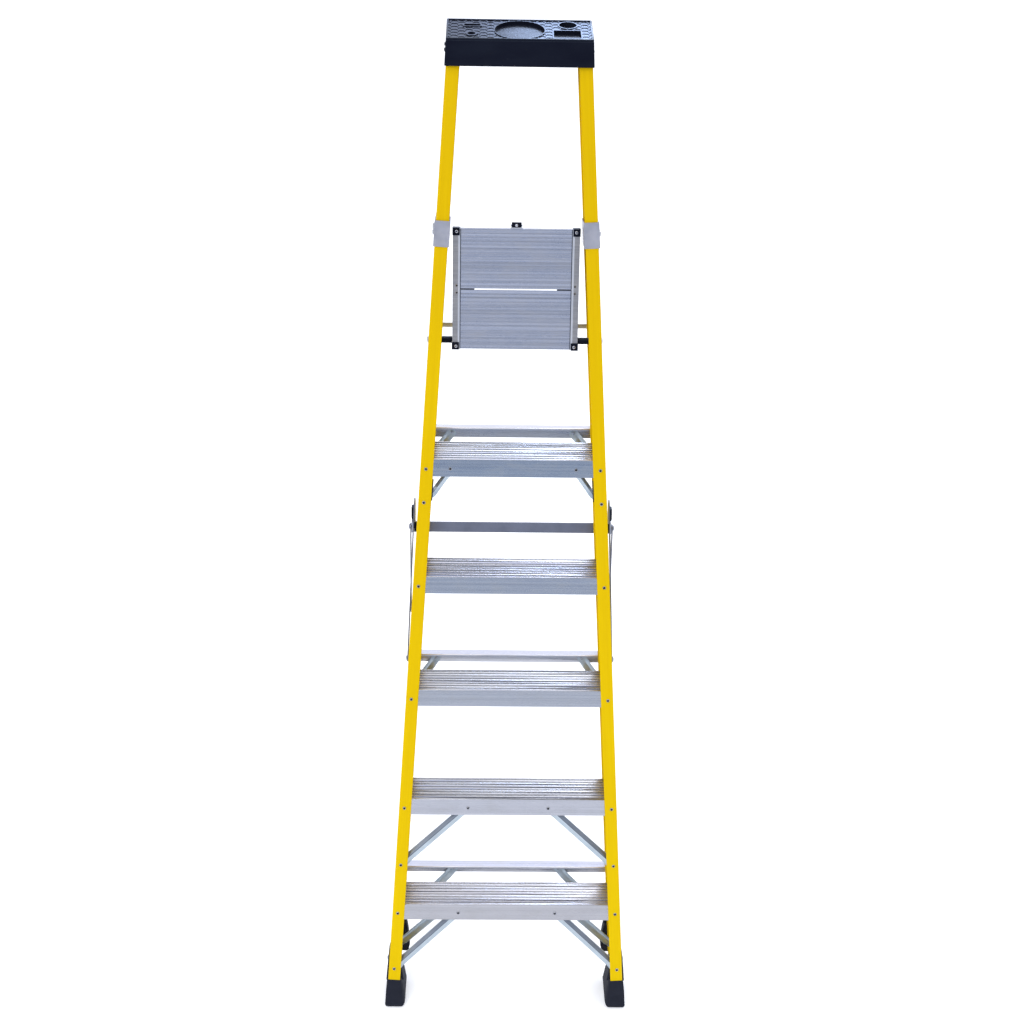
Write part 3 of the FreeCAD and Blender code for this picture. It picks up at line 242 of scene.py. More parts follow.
def plated(name, tint, rough=0.32, flecks=0.14, metallic=1.0):
    """Zinc-plated pressed steel with a soft spangle and a few bright scratches."""
    graph = Graph(name, metallic=metallic)
    spangle = graph.cells((130, 130, 130), output="Color")
    value = graph.node("ShaderNodeSeparateColor", {"Color": spangle}).outputs["Red"]
    clouds = graph.noise((22, 22, 22), detail=4)
    scratches = graph.noise((30, 1100, 240), detail=4, rough=0.7)
    dark = tuple(0.8 * part for part in tint[:3]) + (1.0,)
    light = tuple(min(1.0, 1.35 * part) for part in tint[:3]) + (1.0,)
    base = graph.mix(graph.spread(clouds, 0.3, 0.7), dark, tint)
    base = graph.mix(graph.spread(value, 0.0, 1.0, 0.0, flecks), base, light)
    graph.bump(scratches, 0.08, 0.0002)
    graph.bump(clouds, 0.08, 0.001)
    roughness = graph.math(
        "ADD", graph.spread(value, 0.0, 1.0, rough - 0.05, rough + 0.05),
        graph.spread(scratches, 0.45, 0.75, 0.0, 0.12),
    )
    return graph.finish(Base_Color=base, Roughness=roughness)


TRAY_LOW, TRAY_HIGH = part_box("top_cap")
# Painted reflection: a blue tint on the sheen.
PAINTED_SHEEN_TINT = rgb(0.60, 0.75, 1.0)
# Depths below the tray's top between which its painted sheen comes up, and the sheen's share in its
# pockets, which paints shade there.
SHEEN_DEPTHS = (0.008, 0.005)
POCKET_SHADED_SHEEN = 0.3


def moulded(name, dark, light, grain=1400, rough=(0.38, 0.55), sheen=(0.07, 0.6), crown=0.0):
    """Moulded plastic or rubber: spark-eroded grain, soft flow marks, dust and a painted sheen on top."""
    graph = Graph(name)
    fine = graph.cells((grain, grain, grain), feature="SMOOTH_F1")
    flow = graph.noise((9, 9, 26), detail=4)
    dust = graph.noise((60, 60, 60), detail=7, rough=0.75)
    base = graph.mix(graph.spread(flow, 0.3, 0.7), dark, light)
    base = graph.mix(graph.spread(dust, 0.62, 0.85, 0.0, 0.2), base, rgb(0.08, 0.08, 0.09))
    if crown:
        across = graph.node("ShaderNodeSeparateXYZ", {"Vector": graph.coords}).outputs["Y"]
        offset = graph.math("SUBTRACT", across, (TRAY_LOW.y + TRAY_HIGH.y) / 2)
        graph.bump(graph.math("MULTIPLY", graph.math("MULTIPLY", offset, offset), -crown), 1.0, 1.0)
    graph.bump(fine, 0.25, 0.00025)
    graph.bump(flow, 0.04, 0.002)
    # Painted sheen: faces towards the sky reflect much more than the sides.
    painted_sheen = graph.facing_up(0.55, 0.95, *sheen)
    # Painted shade in the tray's pockets: the sheen fades below its top.
    if crown:
        height = graph.node("ShaderNodeSeparateXYZ", {"Vector": graph.coords}).outputs["Z"]
        low, high = (TRAY_HIGH.z - depth for depth in SHEEN_DEPTHS)
        painted_sheen = graph.math("MULTIPLY", painted_sheen, graph.spread(height, low, high, POCKET_SHADED_SHEEN, 1.0))
    return graph.finish(
        Base_Color=base, Roughness=graph.spread(dust, 0.3, 0.7, *rough),
        Specular_IOR_Level=painted_sheen, Specular_Tint=PAINTED_SHEEN_TINT,
    )


RAIL_MATERIALS = {name: fibreglass(side) for name, side in SIDES.items()}
MATERIALS = {
    # Painted light and shade: the bars' tops are pale and their fronts darker and bluer.
    "aluminium": extruded("aluminium_bar", rgb(0.80, 0.77, 0.77), front=rgb(0.44, 0.45, 0.50)),
    "deck_frame": extruded(
        "aluminium_deck_frame", rgb(0.31, 0.295, 0.29), rough=(0.30, 0.44), inner_edge=DECK_INNER_EDGE,
    ),
    "zinc_steel": plated("zinc_plate", rgb(0.56, 0.58, 0.64)),
    "dark_steel": plated("dark_plate", rgb(0.20, 0.21, 0.26), rough=0.36, flecks=0.05),
    "black_plastic": moulded(
        "black_plastic", rgb(0.005, 0.006, 0.012), rgb(0.008, 0.009, 0.016), sheen=(0.04, 0.6),
    ),
    "rubber": moulded(
        "black_rubber", rgb(0.014, 0.015, 0.022), rgb(0.022, 0.023, 0.032), grain=900,
        rough=(0.55, 0.75), sheen=(0.1, 0.3),
    ),
    "bush_plastic": moulded("nylon_bush", rgb(0.55, 0.54, 0.50), rgb(0.62, 0.61, 0.57)),
    "fastener": plated("plated_fasteners", rgb(0.46, 0.47, 0.51), rough=0.26),
}
# Lowest tread first: colour of its top and of its front edge. The differences between treads and the
# darker fronts are painted light and shade.
TREAD_PAINTED_LIGHT = [
    (rgb(0.465, 0.455, 0.49), rgb(0.36, 0.36, 0.395)),
    (rgb(0.46, 0.46, 0.49), rgb(0.41, 0.42, 0.475)),
    (rgb(0.47, 0.47, 0.50), rgb(0.36, 0.385, 0.445)),
    (rgb(0.65, 0.64, 0.68), rgb(0.34, 0.375, 0.44)),
    (rgb(0.72, 0.72, 0.76), rgb(0.305, 0.35, 0.415)),
]
TREADS = [
    extruded(f"aluminium_tread_painted_light_{number}", top, front, rough=(0.17, 0.30), ripple=0.0048)
    for number, (top, front) in enumerate(TREAD_PAINTED_LIGHT, start=1)
]
PLANK = extruded(
    "aluminium_planks", rgb(0.515, 0.525, 0.60), rough=(0.20, 0.34), lines=(0.4, 1500, 1500), bands=240,
    contrast=0.60,
)
TRAY = moulded(
    "tray_plastic", rgb(0.006, 0.007, 0.014), rgb(0.009, 0.011, 0.019), rough=(0.24, 0.34),
    sheen=(0.04, 1.0), crown=0.30,
)
HINGE_SLEEVE = plated("sleeve_plate", rgb(0.44, 0.435, 0.475), rough=0.40, flecks=0.05)
# A knee brace's plain facets, then painted shade on its upper slope and a darker painted shade on the
# fold beneath that.
BRACES = [
    plated("brace_plate", rgb(0.47, 0.54, 0.60), rough=0.42, metallic=0.75),
    plated("brace_shade", rgb(0.25, 0.28, 0.33), rough=0.42, flecks=0.05, metallic=0.75),
    plated("brace_fold_shade", rgb(0.09, 0.10, 0.13), rough=0.42, flecks=0.05, metallic=0.75),
]
ROD = plated("pale_rod", rgb(0.52, 0.52, 0.46), rough=0.5, flecks=0.05, metallic=0.0)
# Near-black plate: painted shade in the fasteners' hollows and sockets, and the colour of the brace
# clips.
RECESS_SHADE_AND_CLIP = plated("recess_shade_and_clip", rgb(0.02, 0.02, 0.025), rough=0.5, metallic=0.3)

# ---------------------------------------- CAD nodes

# Width of the bevel on a CAD node's sharp edges, by material slot.
EDGE_BREAK = {
    "fibreglass": 0.0006, "aluminium": 0.0004, "deck_frame": 0.0004, "zinc_steel": 0.0005,
    "dark_steel": 0.0004, "black_plastic": 0.0008, "rubber": 0.0015,
}
WELD_DISTANCE = 0.00002
SHARP_EDGE = math.radians(40)


def soften(item, width):
    """Joins the split corners and breaks the sharp edges."""
    weld = item.modifiers.new("weld", "WELD")
    weld.merge_threshold = WELD_DISTANCE
    if width:
        bevel = item.modifiers.new("edges", "BEVEL")
        bevel.width = width
        bevel.segments = 2
        bevel.limit_method = "ANGLE"
        bevel.angle_limit = SHARP_EDGE
        bevel.harden_normals = True
        bevel.use_clamp_overlap = True


def assign(item, material):
    item.data.materials.clear()
    item.data.materials.append(material)


def finish_of(node, slot):
    """Material of a CAD node: one of its own, or the one of its slot."""
    if slot == "fibreglass":
        return RAIL_MATERIALS[node.rsplit("_", 1)[1]]
    if node[:-1] == "tread_":
        return TREADS[int(node[-1]) - 1]
    if node.startswith("deck_plank"):
        return PLANK
    if node.startswith("hinge_bracket"):
        return HINGE_SLEEVE
    if node == "deck_support_rod":
        return ROD
    return MATERIALS[slot]


for part in frame["record"]["subparts"]:
    assign(NODES[part["node"]], finish_of(part["node"], part["material_slot"]))
    soften(NODES[part["node"]], EDGE_BREAK.get(part["material_slot"], 0.0))

# ---------------------------------------- mesh building

SMOOTH_ANGLE = math.radians(38)
JOIN_DISTANCE = 0.00001
# A rounded corner stops just short of the middle of the sides that meet there.
MOST_OF_HALF = 0.48


def shown(name, mesh, materials, body, stands_for=(), edge=0.0):
    """Object on its CAD body, shaded smooth up to a limit, in place of the CAD nodes it stands for."""
    for number, material in enumerate(materials):
        if number < len(mesh.materials):
            mesh.materials[number] = material
        else:
            mesh.materials.append(material)
    mesh.polygons.foreach_set("use_smooth", [True] * len(mesh.polygons))
    mesh.set_sharp_from_angle(angle=SMOOTH_ANGLE)
    item = bpy.data.objects.new(name, mesh)
    bpy.context.scene.collection.objects.link(item)
    if edge:
        soften(item, edge)
    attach(item, body)
    if stands_for:
        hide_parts(*stands_for)
    return item


def meshed(name, work):
    """Mesh of a bmesh, joined up and with its faces outwards."""
    bmesh.ops.remove_doubles(work, verts=work.verts, dist=JOIN_DISTANCE)
    bmesh.ops.recalc_face_normals(work, faces=work.faces)
    mesh = bpy.data.meshes.new(name)
    work.to_mesh(mesh)
    work.free()
    return mesh


def loft(work, rings, shades=None):
    """Skin over rings of equal count, closed at both ends; shades gives some facets a material."""
    loops = [[work.verts.new(point) for point in ring] for ring in rings]
    work.faces.new(loops[0][::-1])
    work.faces.new(loops[-1])
    for low, high in zip(loops, loops[1:]):
        for index in range(len(low)):
            following = (index + 1) % len(low)
            face = work.faces.new((low[index], low[following], high[following], high[index]))
            face.material_index = (shades or {}).get(index, 0)


def rounded(corners, radius, steps=4):
    """Outline with its corners rounded; corners are 2-D points."""
    points = []
    count = len(corners)
    for index, corner in enumerate(corners):
        here = Vector(corner)
        before = Vector(corners[index - 1]) - here
        after = Vector(corners[(index + 1) % count]) - here
        reach = min(radius, before.length * MOST_OF_HALF, after.length * MOST_OF_HALF)
        start, end = here + before.normalized() * reach, here + after.normalized() * reach
        for step in range(steps + 1):
            share = step / steps
            first, second = start.lerp(here, share), here.lerp(end, share)
            points.append(first.lerp(second, share))
    return points


def rectangle(x_low, x_high, y_low, y_high):
    return [(x_low, y_low), (x_high, y_low), (x_high, y_high), (x_low, y_high)]


def circle(x, y, radius, count=64):
    return [
        (x + radius * math.cos(math.tau * index / count), y + radius * math.sin(math.tau * index / count))
        for index in range(count)
    ]


def upright(work, outline, low, high):
    """Straight-sided block over an outline in the XY plane."""
    loft(work, [[Vector((point[0], point[1], z)) for point in outline] for z in (low, high)])


def combined(name, base, steps):
    """Applies booleans in turn; each step is (operation, bmesh)."""
    item = bpy.data.objects.new(name, base)
    bpy.context.scene.collection.objects.link(item)
    tools = []
    for number, (operation, work) in enumerate(steps):
        tool = bpy.data.objects.new(f"{name}_tool_{number}", meshed(f"{name}_tool_{number}", work))
        bpy.context.scene.collection.objects.link(tool)
        tools.append(tool)
        modifier = item.modifiers.new(operation, "BOOLEAN")
        modifier.operation = operation
        modifier.solver = "EXACT"
        modifier.object = tool
    graph = bpy.context.evaluated_depsgraph_get()
    mesh = bpy.data.meshes.new_from_object(item.evaluated_get(graph))
    mesh.name = name
    for spare in tools + [item]:
        bpy.data.objects.remove(spare)
    return mesh


# ---------------------------------------- tool tray

# The tray's floor lies TRAY_DROP below its rim, with hexagonal pockets in it; its roof is ROOF thick.
TRAY_RIM = 0.0045
TRAY_DROP = 0.0016
ROOF = 0.018
CELL_DEPTH = 0.0012
CELL_PITCH = (0.0174, 0.020)
CELL_RADIUS = 0.0099
SMALLEST_CELL = 0.00002
# Openings, from the tray's centre line and its front edge. A hole goes right through.
CAN_BACK, CAN_RADIUS, CAN_RIM, CAN_DEPTH = 0.063, 0.060, 0.0017, 0.0085
HOLE_X, HOLE_BACK, HOLE_RADIUS, HOLE_RIM = 0.1165, 0.099, 0.021, 0.0032
DRIVER_X, DRIVER_BACK, DRIVER_RADIUS, DRIVER_BOSS = -0.1155, 0.036, 0.0095, 0.0160
BIN_DEPTH = 0.009
THROUGH = 0.05
BOSS_DEPTH = 0.012
BOSS_DROP = 0.0002
# Ribs under the roof: places across the tray, half their thickness and their height.
RIB_PLACES = (-0.150, -0.075, -0.025, 0.025, 0.070, 0.156)
RIB_HALF = 0.001
RIB_HEIGHT = 0.016
ABOVE = 0.02


def hexagon(x, y, radius):
    return [
        (x + radius * math.cos(math.radians(60 * index)), y + radius * math.sin(math.radians(60 * index)))
        for index in range(6)
    ]


def clipped(outline, axis, limit, sign):
    """Part of an outline on one side of a line."""
    kept = []
    for index, here in enumerate(outline):
        before = outline[index - 1]
        inside, was_inside = sign * (here[axis] - limit) <= 0, sign * (before[axis] - limit) <= 0
        if inside != was_inside:
            share = (limit - before[axis]) / (here[axis] - before[axis])
            kept.append(tuple(before[k] + share * (here[k] - before[k]) for k in (0, 1)))
        if inside:
            kept.append(here)
    return kept


def area(outline):
    """Area inside an outline."""
    return abs(sum(
        outline[index - 1][0] * here[1] - here[0] * outline[index - 1][1]
        for index, here in enumerate(outline)
    )) / 2


def tray_cells(field, low, high):
    """Hexagonal pockets over the tray, cut off at its rim."""
    work = bmesh.new()
    x_low, x_high, y_low, y_high = field
    middle_y = (y_low + y_high) / 2
    columns = math.ceil(x_high / CELL_PITCH[0])
    rows = math.ceil((y_high - middle_y) / CELL_PITCH[1])
    for column in range(-columns, columns + 1):
        for row in range(-rows, rows + 1):
            x = column * CELL_PITCH[0]
            y = middle_y + (row + 0.5 * (column % 2)) * CELL_PITCH[1]
            cell = hexagon(x, y, CELL_RADIUS)
            for axis, limit, sign in ((0, x_high, 1), (0, x_low, -1), (1, y_high, 1), (1, y_low, -1)):
                cell = clipped(cell, axis, limit, sign) if cell else cell
            if len(cell) > 2 and area(cell) > SMALLEST_CELL:
                upright(work, cell, low, high)
    return work


def tray_shell():
    """Outside of the tray: a drafted wall, a groove under the rim and a rounded rim."""
    low, high = TRAY_LOW, TRAY_HIGH
    work = bmesh.new()
    # Each ring: height, inset at the sides, at the front and at the rear.
    rings = [
        (low.z, 0.0004, 0.0004, 0.0004),
        (low.z + 0.0012, 0.0, 0.0, 0.0),
        (high.z - 0.0062, 0.0037, 0.0009, 0.0018),
        (high.z - 0.0055, 0.0044, 0.0016, 0.0025),
        (high.z - 0.0044, 0.0044, 0.0016, 0.0025),
        (high.z - 0.0037, 0.0038, 0.0010, 0.0019),
        (high.z - 0.0010, 0.0040, 0.0011, 0.0020),
        (high.z, 0.0050, 0.0021, 0.0030),
    ]
    loft(work, [
        [Vector((*point, z)) for point in rounded(
            rectangle(low.x + side, high.x - side, low.y + ahead, high.y - behind), 0.004)]
        for z, side, ahead, behind in rings
    ])
    return meshed("tray_shell", work)


def tray_openings():
    """Each opening of the tray: outline of its raised rim, its own outline and its depth."""
    front = TRAY_LOW.y
    can = (0.0, front + CAN_BACK)
    hole = (HOLE_X, front + HOLE_BACK)
    driver = (DRIVER_X, front + DRIVER_BACK)
    return [
        (circle(*can, CAN_RADIUS + CAN_RIM, 96), circle(*can, CAN_RADIUS, 96), CAN_DEPTH),
        (circle(*hole, HOLE_RADIUS + HOLE_RIM), circle(*hole, HOLE_RADIUS), THROUGH),
        (rounded(rectangle(-0.1370, -0.0900, front + 0.0830, front + 0.1030), 0.0080),
         rounded(rectangle(-0.1335, -0.0935, front + 0.0865, front + 0.0995), 0.0055), THROUGH),
        (hexagon(*driver, DRIVER_BOSS), circle(*driver, DRIVER_RADIUS, 32), THROUGH),
        (rounded(rectangle(0.0778, 0.1492, front + 0.0075, front + 0.0650), 0.0040),
         rounded(rectangle(0.0810, 0.1460, front + 0.0100, front + 0.0620), 0.0025), BIN_DEPTH),
    ]


def tool_tray():
    low, high = TRAY_LOW, TRAY_HIGH
    top = high.z
    field = (low.x + 0.004 + TRAY_RIM, high.x - 0.004 - TRAY_RIM,
             low.y + 0.001 + TRAY_RIM, high.y - 0.002 - TRAY_RIM)
    floor = top - TRAY_DROP
    tray = bmesh.new()
    upright(tray, rounded(rectangle(*field), 0.003), floor, top + ABOVE)
    pockets = tray_cells(field, floor - CELL_DEPTH, top + ABOVE)
    hollow = bmesh.new()
    inside = rectangle(low.x + 0.0065, high.x - 0.0065, low.y + 0.0045, high.y - 0.0045)
    upright(hollow, rounded(inside, 0.003), low.z - ABOVE, top - ROOF)
    bosses, holes = bmesh.new(), bmesh.new()
    for rim, outline, depth in tray_openings():
        upright(bosses, rim, top - BOSS_DEPTH, top - BOSS_DROP)
        upright(holes, outline, top - depth, top + ABOVE)
    for x in RIB_PLACES:
        upright(bosses, rectangle(x - RIB_HALF, x + RIB_HALF, low.y + 0.002, high.y - 0.003),
                top - ROOF - RIB_HEIGHT, top - ROOF + 0.002)
    mesh = combined("tool_tray", tray_shell(), [
        ("DIFFERENCE", tray), ("DIFFERENCE", pockets), ("DIFFERENCE", hollow),
        ("UNION", bosses), ("DIFFERENCE", holes),
    ])
    shown("tool_tray", mesh, [TRAY], "front_frame", ["top_cap"], edge=0.0004)


tool_tray()

# ---------------------------------------- rubber boots

# The rear frame's hinge line, and the slope of the rear rails when the rear feet stand on the floor;
# the rear soles are cut to that slope.
HINGE_ALONG = 2.153
HINGE_BACK = 0.1267
REAR_LEAN = math.radians(9.5)
REAR_SOLE = HINGE_ALONG - place_at(0, HINGE_BACK, HINGE_ALONG).z / math.cos(REAR_LEAN)


def rail_point(side, inward, back, along):
    """Place from a rail's outer face at the floor line: inwards, back and along, in millimetres."""
    local = Vector((-side * inward, back, along)) / 1000
    return place_at(side * HALF_WIDTH, 0, 0) + rail_axes(side).to_3x3() @ local


def at_height(side, inward, back, height):
    """Point on the rail's line through (inward, back) at a height above the floor, in millimetres."""
    foot, head = rail_point(side, inward, back, 0), rail_point(side, inward, back, 100)
    return foot.lerp(head, (height / 1000 - foot.z) / (head.z - foot.z))


def ring_of(corners, radius, place):
    """Ring of points: a rounded outline of (inward, back) corners, put in place."""
    return [place(point.x, point.y) for point in rounded(corners, radius)]


def rail_rings(side):
    """Maker of rings square to a rail, for one side."""
    def ring(along, corners, radius=4.0):
        return ring_of(corners, radius, lambda inward, back: rail_point(side, inward, back, along))
    return ring


def front_boot(name, side):
    """Boot with a welted sole, a plug inside the rail and a tongue up its outer face."""
    work = bmesh.new()
    rail_ring = rail_rings(side)

    def floor_ring(height, inset):
        corners = [
            (-4.6 + inset, -2.5 + inset), (46.0 - inset / 2, -2.5 + inset),
            (50.5 - inset, 8.0 + inset / 2), (50.5 - inset, 97.0 - inset), (-4.6 + inset, 97.0 - inset),
        ]
        return ring_of(corners, 5.0, lambda inward, back: at_height(side, inward, back, height))

    loft(work, [
        floor_ring(0.0, 6.5), floor_ring(1.2, 3.6), floor_ring(3.6, 1.4), floor_ring(7.5, 0.1),
        floor_ring(9.6, 0.0), floor_ring(10.4, 0.9), floor_ring(12.0, 0.9), floor_ring(12.8, 0.1),
        rail_ring(52.0, [(-4.4, -2.6), (40.2, -2.6), (45.6, 8.0), (49.6, 92.0), (-4.4, 95.0)]),
        rail_ring(84.5, [(-2.3, -2.4), (35.2, -2.4), (37.4, 8.0), (42.2, 88.0), (-3.4, 92.6)]),
        rail_ring(87.0, [(-1.2, -1.2), (34.0, -1.2), (36.0, 9.0), (40.6, 86.6), (-2.2, 91.0)]),
    ])
    loft(work, [
        rail_ring(80.0, [(5.0, 16.0), (43.2, 16.0), (43.2, 86.4), (5.0, 86.4)]),
        rail_ring(105.0, [(5.0, 17.0), (37.2, 17.0), (37.2, 85.4), (5.0, 85.4)]),
        rail_ring(121.0, [(5.0, 18.0), (33.6, 18.0), (33.6, 84.6), (5.0, 84.6)]),
        rail_ring(126.5, [(6.5, 20.0), (31.0, 20.0), (31.0, 82.4), (6.5, 82.4)]),
    ])
    loft(work, [
        rail_ring(78.0, [(-5.4, 14.0), (1.0, 14.0), (1.0, 78.0), (-5.4, 78.0)], 1.5),
        rail_ring(118.0, [(-4.6, 15.0), (1.0, 15.0), (1.0, 77.0), (-4.6, 77.0)], 1.5),
        rail_ring(150.0, [(-3.4, 18.0), (1.0, 18.0), (1.0, 74.0), (-3.4, 74.0)], 1.5),
        rail_ring(162.0, [(-2.6, 24.0), (1.0, 24.0), (1.0, 68.0), (-2.6, 68.0)], 1.2),
        rail_ring(168.0, [(-1.4, 33.0), (1.0, 33.0), (1.0, 59.0), (-1.4, 59.0)], 0.8),
    ])
    shown(f"front_boot_{name}", meshed(f"front_boot_{name}", work), [MATERIALS["rubber"]],
          "front_frame", [f"front_foot_{name}"])


def rear_boot(name, side):
    """Boot with a sloping, welted sole and a plug inside the rail."""
    work = bmesh.new()
    rail_ring = rail_rings(side)

    def sole_ring(height, inset):
        def place(inward, back):
            level = REAR_SOLE * 1000 - (back - HINGE_BACK * 1000) * math.tan(REAR_LEAN)
            return rail_point(side, inward, back, level + height)
        return ring_of(rectangle(-2.0 + inset, 51.5 - inset, 98.5 + inset, 154.5 - inset), 5.0, place)

    loft(work, [
        sole_ring(0.0, 5.0), sole_ring(1.2, 2.6), sole_ring(3.4, 1.0), sole_ring(6.5, 0.1),
        sole_ring(8.0, 0.0), sole_ring(8.8, 0.9), sole_ring(10.2, 0.9), sole_ring(11.0, 0.1),
        rail_ring(141.0, rectangle(-1.8, 53.2, 99.0, 153.6)),
        rail_ring(150.5, rectangle(-0.6, 51.4, 100.4, 152.2)),
        rail_ring(152.5, rectangle(0.4, 49.8, 101.8, 150.8)),
    ])
    loft(work, [
        rail_ring(146.0, rectangle(5.0, 50.4, 108.4, 144.6)),
        rail_ring(168.0, rectangle(5.0, 48.2, 108.4, 144.6)),
        rail_ring(186.0, rectangle(5.0, 44.8, 108.4, 144.6)),
        rail_ring(198.0, rectangle(5.0, 41.6, 108.8, 144.2)),
        rail_ring(201.5, rectangle(7.0, 39.4, 110.4, 142.6)),
    ])
    shown(f"rear_boot_{name}", meshed(f"rear_boot_{name}", work), [MATERIALS["rubber"]],
          "rear_frame", [f"rear_foot_{name}"])


for side_name, side_sign in SIDES.items():
    front_boot(side_name, side_sign)
    rear_boot(side_name, side_sign)

# ---------------------------------------- fasteners


def solids(node):
    """Point clouds of a CAD node's separate solids."""
    mesh = NODES[node].data
    places, leader = {}, {}

    def find(key):
        while leader[key] != key:
            leader[key] = leader[leader[key]]
            key = leader[key]
        return key

    keys = []
    for vertex in mesh.vertices:
        key = tuple(round(value * 1e6) for value in vertex.co)
        keys.append(key)
        leader.setdefault(key, key)
        places[key] = vertex.co
    for polygon in mesh.polygons:
        first = find(keys[polygon.vertices[0]])
        for index in polygon.vertices[1:]:
            leader[find(keys[index])] = first
    clouds = {}
    for key in leader:
        clouds.setdefault(find(key), []).append(places[key])
    return [np.array([list(point) for point in clouds[key]]) for key in sorted(clouds)]


def main_axes(points):
    """Centre and principal axes of a point cloud, widest spread last."""
    centre = points.mean(axis=0)
    spread, axes = np.linalg.eigh(np.cov((points - centre).T))
    return centre, spread, axes


def fixings(node):
    """Each fastener of a node: where its head sits, outward direction, head radius, length."""
    found = []
    for points in solids(node):
        centre, spread, axes = main_axes(points)
        lone = 0 if spread[1] - spread[0] > spread[2] - spread[1] else 2
        axis = axes[:, lone]
        heights = (points - centre) @ axis
        radii = np.linalg.norm(points - centre - np.outer(heights, axis), axis=1)
        seat = heights[radii > 0.98 * radii.max()].mean()
        if heights.max() - seat > seat - heights.min():
            axis, heights, seat = -axis, -heights, -seat
        found.append((
            Vector(centre + axis * seat), Vector(axis), float(radii.max()), float(seat - heights.min())
        ))
    return found


def turned(work, place, outward, profile, count=20, dark=0):
    """Solid of revolution; profile is (radius, height) along outward, its first faces dark as painted
    shade in a hollow.
    """
    across = outward.orthogonal().normalized()
    other = outward.cross(across)
    loops = []
    for radius, height in profile:
        loops.append([
            work.verts.new(place + outward * height + max(radius, 0.000001) * (
                across * math.cos(math.tau * step / count) + other * math.sin(math.tau * step / count)
            )) for step in range(count)
        ])
    for number, (low, high) in enumerate(zip(loops, loops[1:])):
        for index in range(count):
            following = (index + 1) % count
            face = work.faces.new((low[index], low[following], high[following], high[index]))
            face.material_index = 1 if number < dark else 0


def rivet(work, place, outward, radius, length):
    """Blind rivet: rounded flange round a hollow mandrel painted dark as shade, collar behind."""
    turned(work, place, outward, [
        (0.0, radius * 0.16), (radius * 0.56, radius * 0.16), (radius * 0.62, radius * 0.36),
        (radius * 0.72, radius * 0.44), (radius * 0.88, radius * 0.33), (radius, radius * 0.05),
        (radius * 0.98, 0.0), (radius * 0.5, -radius * 0.02), (radius * 0.5, 0.0014 - length),
        (radius * 0.7, 0.0013 - length), (radius * 0.74, 0.0006 - length), (radius * 0.62, -length),
        (0.0, -length),
    ], dark=2)


def hex_bolt(work, place, outward, radius, length):
    """Hexagon head on a washer, with a nut behind."""
    turned(work, place, outward, [
        (0.0, 0.0013), (radius * 1.04, 0.0013), (radius * 1.12, 0.0008), (radius * 1.12, 0.0),
        (radius * 0.5, -0.0002), (radius * 0.5, 0.002 - length), (0.0, 0.002 - length),
    ], count=28)
    turned(work, place + outward * 0.0012, outward, [
        (0.0, radius * 0.50), (radius * 0.60, radius * 0.50), (radius * 0.82, radius * 0.46),
        (radius * 0.98, radius * 0.36), (radius * 0.98, 0.0), (0.0, 0.0),
    ], count=6)
    turned(work, place - outward * length, outward, [
        (0.0, 0.0024), (radius * 0.7, 0.0024), (radius * 0.8, 0.0018), (radius * 0.8, 0.0), (0.0, 0.0),
    ], count=6)


def dome_bolt(work, place, outward, radius, length):
    """Smooth domed head with a small flat rim."""
    turned(work, place, outward, [
        (0.0, radius * 0.46), (radius * 0.3, radius * 0.44), (radius * 0.62, radius * 0.34),
        (radius * 0.86, radius * 0.18), (radius, radius * 0.04), (radius, 0.0), (radius * 0.5, -0.0002),
        (radius * 0.5, 0.002 - length), (radius * 0.8, 0.002 - length), (radius * 0.8, -length),
        (0.0, -length),
    ], count=24)


def screw(work, place, outward, radius, length):
    """Pan head with a hexagon socket painted dark as shade."""
    radius *= 1.2
    turned(work, place, outward, [
        (0.0, radius * 0.16), (radius * 0.38, radius * 0.16), (radius * 0.42, radius * 0.46),
        (radius * 0.7, radius * 0.44), (radius * 0.92, radius * 0.28), (radius, 0.0),
        (radius * 0.5, -0.0001), (radius * 0.5, -length), (0.0, -length),
    ], count=18, dark=2)


def fastened(name, node, body, choose, material=None):
    """One piece with all the fasteners of a node; choose(radius) gives the kind, or None."""
    work = bmesh.new()
    for place, outward, radius, length in fixings(node):
        kind = choose(radius)
        if kind:
            kind(work, place, outward, radius, length)
    shown(name, meshed(name, work), [material or MATERIALS["fastener"], RECESS_SHADE_AND_CLIP], body, [node])


# Head radii that part the sleeve bolts from the cap's, and the corner screws from the rivets.
SLEEVE_BOLT = 0.00575
CORNER_SCREW = 0.0034
fastened("front_rivets", "front_frame_rivets", "front_frame", lambda radius: rivet)
fastened("rear_rivets", "rear_frame_rivets", "rear_frame", lambda radius: rivet)
fastened("hinge_hex_bolts", "hinge_bolts", "front_frame", lambda radius: hex_bolt)
fastened("sleeve_bolts", "upper_bolts", "front_frame",
         lambda radius: hex_bolt if radius > SLEEVE_BOLT else None)
fastened("tray_bolts", "upper_bolts", "front_frame",
         lambda radius: dome_bolt if radius < SLEEVE_BOLT else None, MATERIALS["black_plastic"])
fastened("front_boot_bolts", "front_foot_bolts", "front_frame", lambda radius: dome_bolt)
fastened("rear_boot_bolts", "rear_foot_bolts", "rear_frame", lambda radius: dome_bolt)
fastened("platform_screws", "deck_fasteners", "deck",
         lambda radius: screw if radius > CORNER_SCREW else rivet)

# ---------------------------------------- knee braces

BRACE_SHEET = 0.0016
# Stretch at a CAD brace's ends that shows which way its web faces.
TIP_LENGTH = 0.001
# Across a brace, from its upper edge to its lower one: share of half its width, share of its depth.
BRACE_SECTION = [
    (-1.0, 0.86), (-0.92, 0.86), (-0.58, 0.40), (-0.26, 0.02), (-0.14, 0.0), (0.0, 0.05),
    (0.46, 0.36), (0.90, 0.68), (1.0, 0.68),
]
# Facets of the section in shade: the upper slope and the fold beneath it.
BRACE_SHADES = {1: 1, 2: 1, 3: 2}
